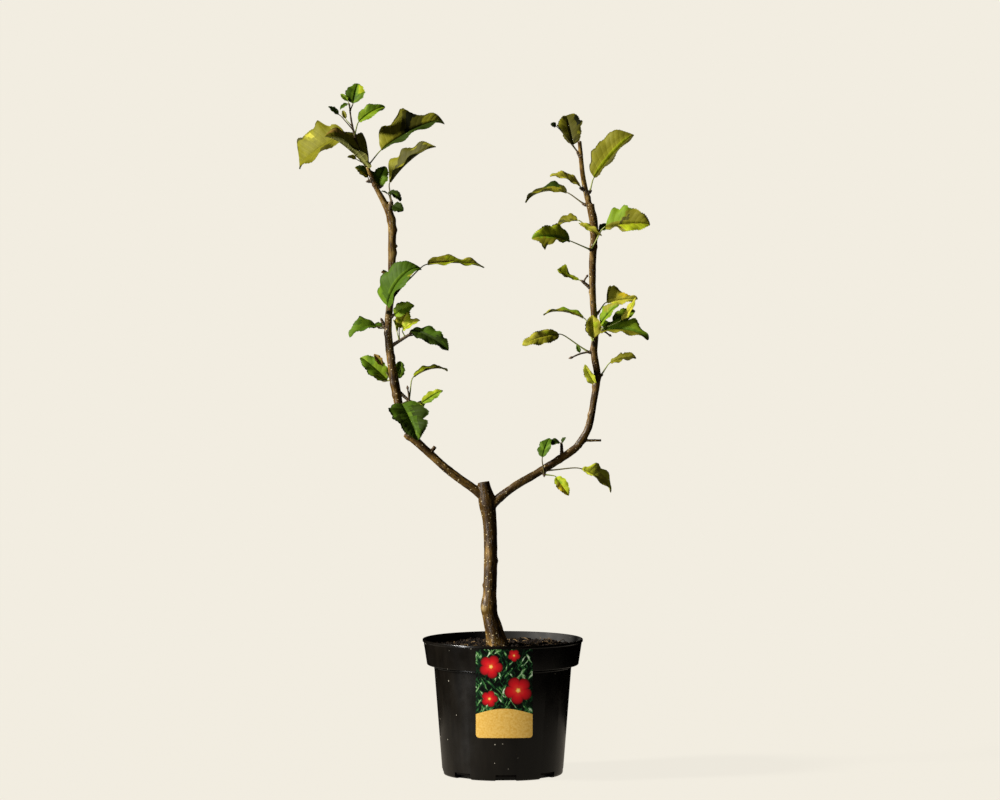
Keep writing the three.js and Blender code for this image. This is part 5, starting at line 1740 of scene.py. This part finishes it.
def set_stage(strip):
    """A wide pale floor whose glow is almost the backdrop's, so that shadows on it are faint, and a pale
    dome that only the camera sees. Away from the plant the floor fades to the backdrop's own colour."""
    material, tree, shader = start_material("matt pale floor", Roughness=0.9, Specular_IOR_Level=0.0)
    shader.inputs["Base Color"].default_value = linear("#3a3936")
    place = add_node(tree, "ShaderNodeTexCoord").outputs["Object"]
    far = add_node(tree, "ShaderNodeVectorMath", {0: place}, operation="LENGTH")
    fade = add_node(tree, "ShaderNodeMapRange", {"Value": far, "From Min": 0.5, "From Max": 2.2})
    lit = add_node(tree, "ShaderNodeEmission", {"Color": linear(BACKDROP), "Strength": FLOOR_GLOW})
    both = add_node(tree, "ShaderNodeAddShader", {0: shader, 1: lit})
    plain = add_node(tree, "ShaderNodeEmission", {"Color": linear(BACKDROP), "Strength": 1.0})
    mixed = add_node(tree, "ShaderNodeMixShader", {0: fade, 1: both, 2: plain})
    output = next(node for node in tree.nodes if node.type == "OUTPUT_MATERIAL")
    fill_inputs(tree, output, {0: mixed})
    bpy.ops.mesh.primitive_circle_add(vertices=96, radius=40, fill_type="NGON", location=(0, 0, 0))
    floor = set_apart(bpy.context.object, "floor", material, {"diffuse", "glossy"})

    # The strip light leaves the floor out, so that no bright spot lies beside the plant.
    spared = bpy.data.collections.new("not lit by the strip")
    spared.objects.link(floor)
    spared.collection_objects[0].light_linking.link_state = "EXCLUDE"
    strip.light_linking.receiver_collection = spared

    bpy.ops.mesh.primitive_uv_sphere_add(segments=48, ring_count=24, radius=60, location=(0, 0, 0))
    pale = glow_material("pale backdrop", BACKDROP, 1.0)
    set_apart(bpy.context.object, "backdrop", pale, RAYS - {"camera"})


def set_light():
    """A sun from the upper left, a little in front, a strip light at the left for the pot's upright
    highlight, a pale disc under the pot that only glosses see, and a dim surround. Returns the strip."""
    strip = bpy.data.lights.new("strip", "AREA")
    strip.shape = "RECTANGLE"
    strip.size = 0.12
    strip.size_y = 0.5
    strip.energy = STRIP_POWER
    lamp = put("strip", strip)
    lamp.location = STRIP_PLACE
    lamp.rotation_euler = turn_to(STRIP_WAY)

    sun = bpy.data.lights.new("key", "SUN")
    sun.energy = SUN_STRENGTH
    sun.angle = math.radians(SUN_WIDTH)
    sun.color = SUN_COLOUR
    put("key", sun).rotation_euler = turn_to(SUN_WAY)

    bpy.ops.mesh.primitive_circle_add(
        vertices=64, radius=REFLECTOR_RADIUS, fill_type="NGON", location=(0, 0, -0.002)
    )
    pale = glow_material("reflector", "#efe3cf", REFLECTOR_GLOW)
    set_apart(bpy.context.object, "reflector", pale, RAYS - {"glossy"})

    world = bpy.data.worlds.new("surround")
    bpy.context.scene.world = world
    world.use_nodes = True
    background = world.node_tree.nodes["Background"]
    fill_inputs(world.node_tree, background, {0: linear("#efe9dc"), 1: SURROUND_STRENGTH})
    world.cycles_visibility.glossy = False
    bpy.context.scene.view_settings.view_transform = "Standard"
    return lamp


def set_camera():
    """A camera as far away as the photo's, which takes in the frame's width at the tree."""
    camera = bpy.data.cameras.new("camera")
    way = np.subtract(CAMERA_AIM, CAMERA_PLACE)
    camera.sensor_width = SENSOR
    camera.lens = SENSOR * np.linalg.norm(way) / FRAME_WIDTH
    camera.clip_end = 200
    made = put("camera", camera)
    made.location = CAMERA_PLACE
    made.rotation_euler = turn_to(way)
    bpy.context.scene.camera = made


set_camera()
set_stage(set_light())

bark = make_wood(bark_finish())
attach(bark, "root")
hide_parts("trunk", "bough_left_lower", "bough_left_upper", "bough_right_lower", "bough_right_upper")
make_foliage(
    leaf_finishes(),
    [stalk_finish("leaf stalk, green", "#8f9a45"), stalk_finish("leaf stalk, sun-browned", "#5c5428")],
    [
        spur_finish("spur bark", "#2a2013", "#5d4a2a", 0.8),
        spur_finish("bud scales", "#3a281a", "#6d553a", 0.6),
    ],
)
make_pot(
    pot_finish("black polypropylene, moulded", 0.2, 0.33),
    pot_finish("black polypropylene, inner wall", 0.6, 0.75),
)
make_compost(
    soil_finish("peat compost", "#060504", "#1d150f", 4),
    soil_finish("compost crumbs", "#0b0806", "#2b2018", 5),
    soil_finish("root fibres", "#4a3824", "#8d744e", 6),
)
make_card(card_finish())
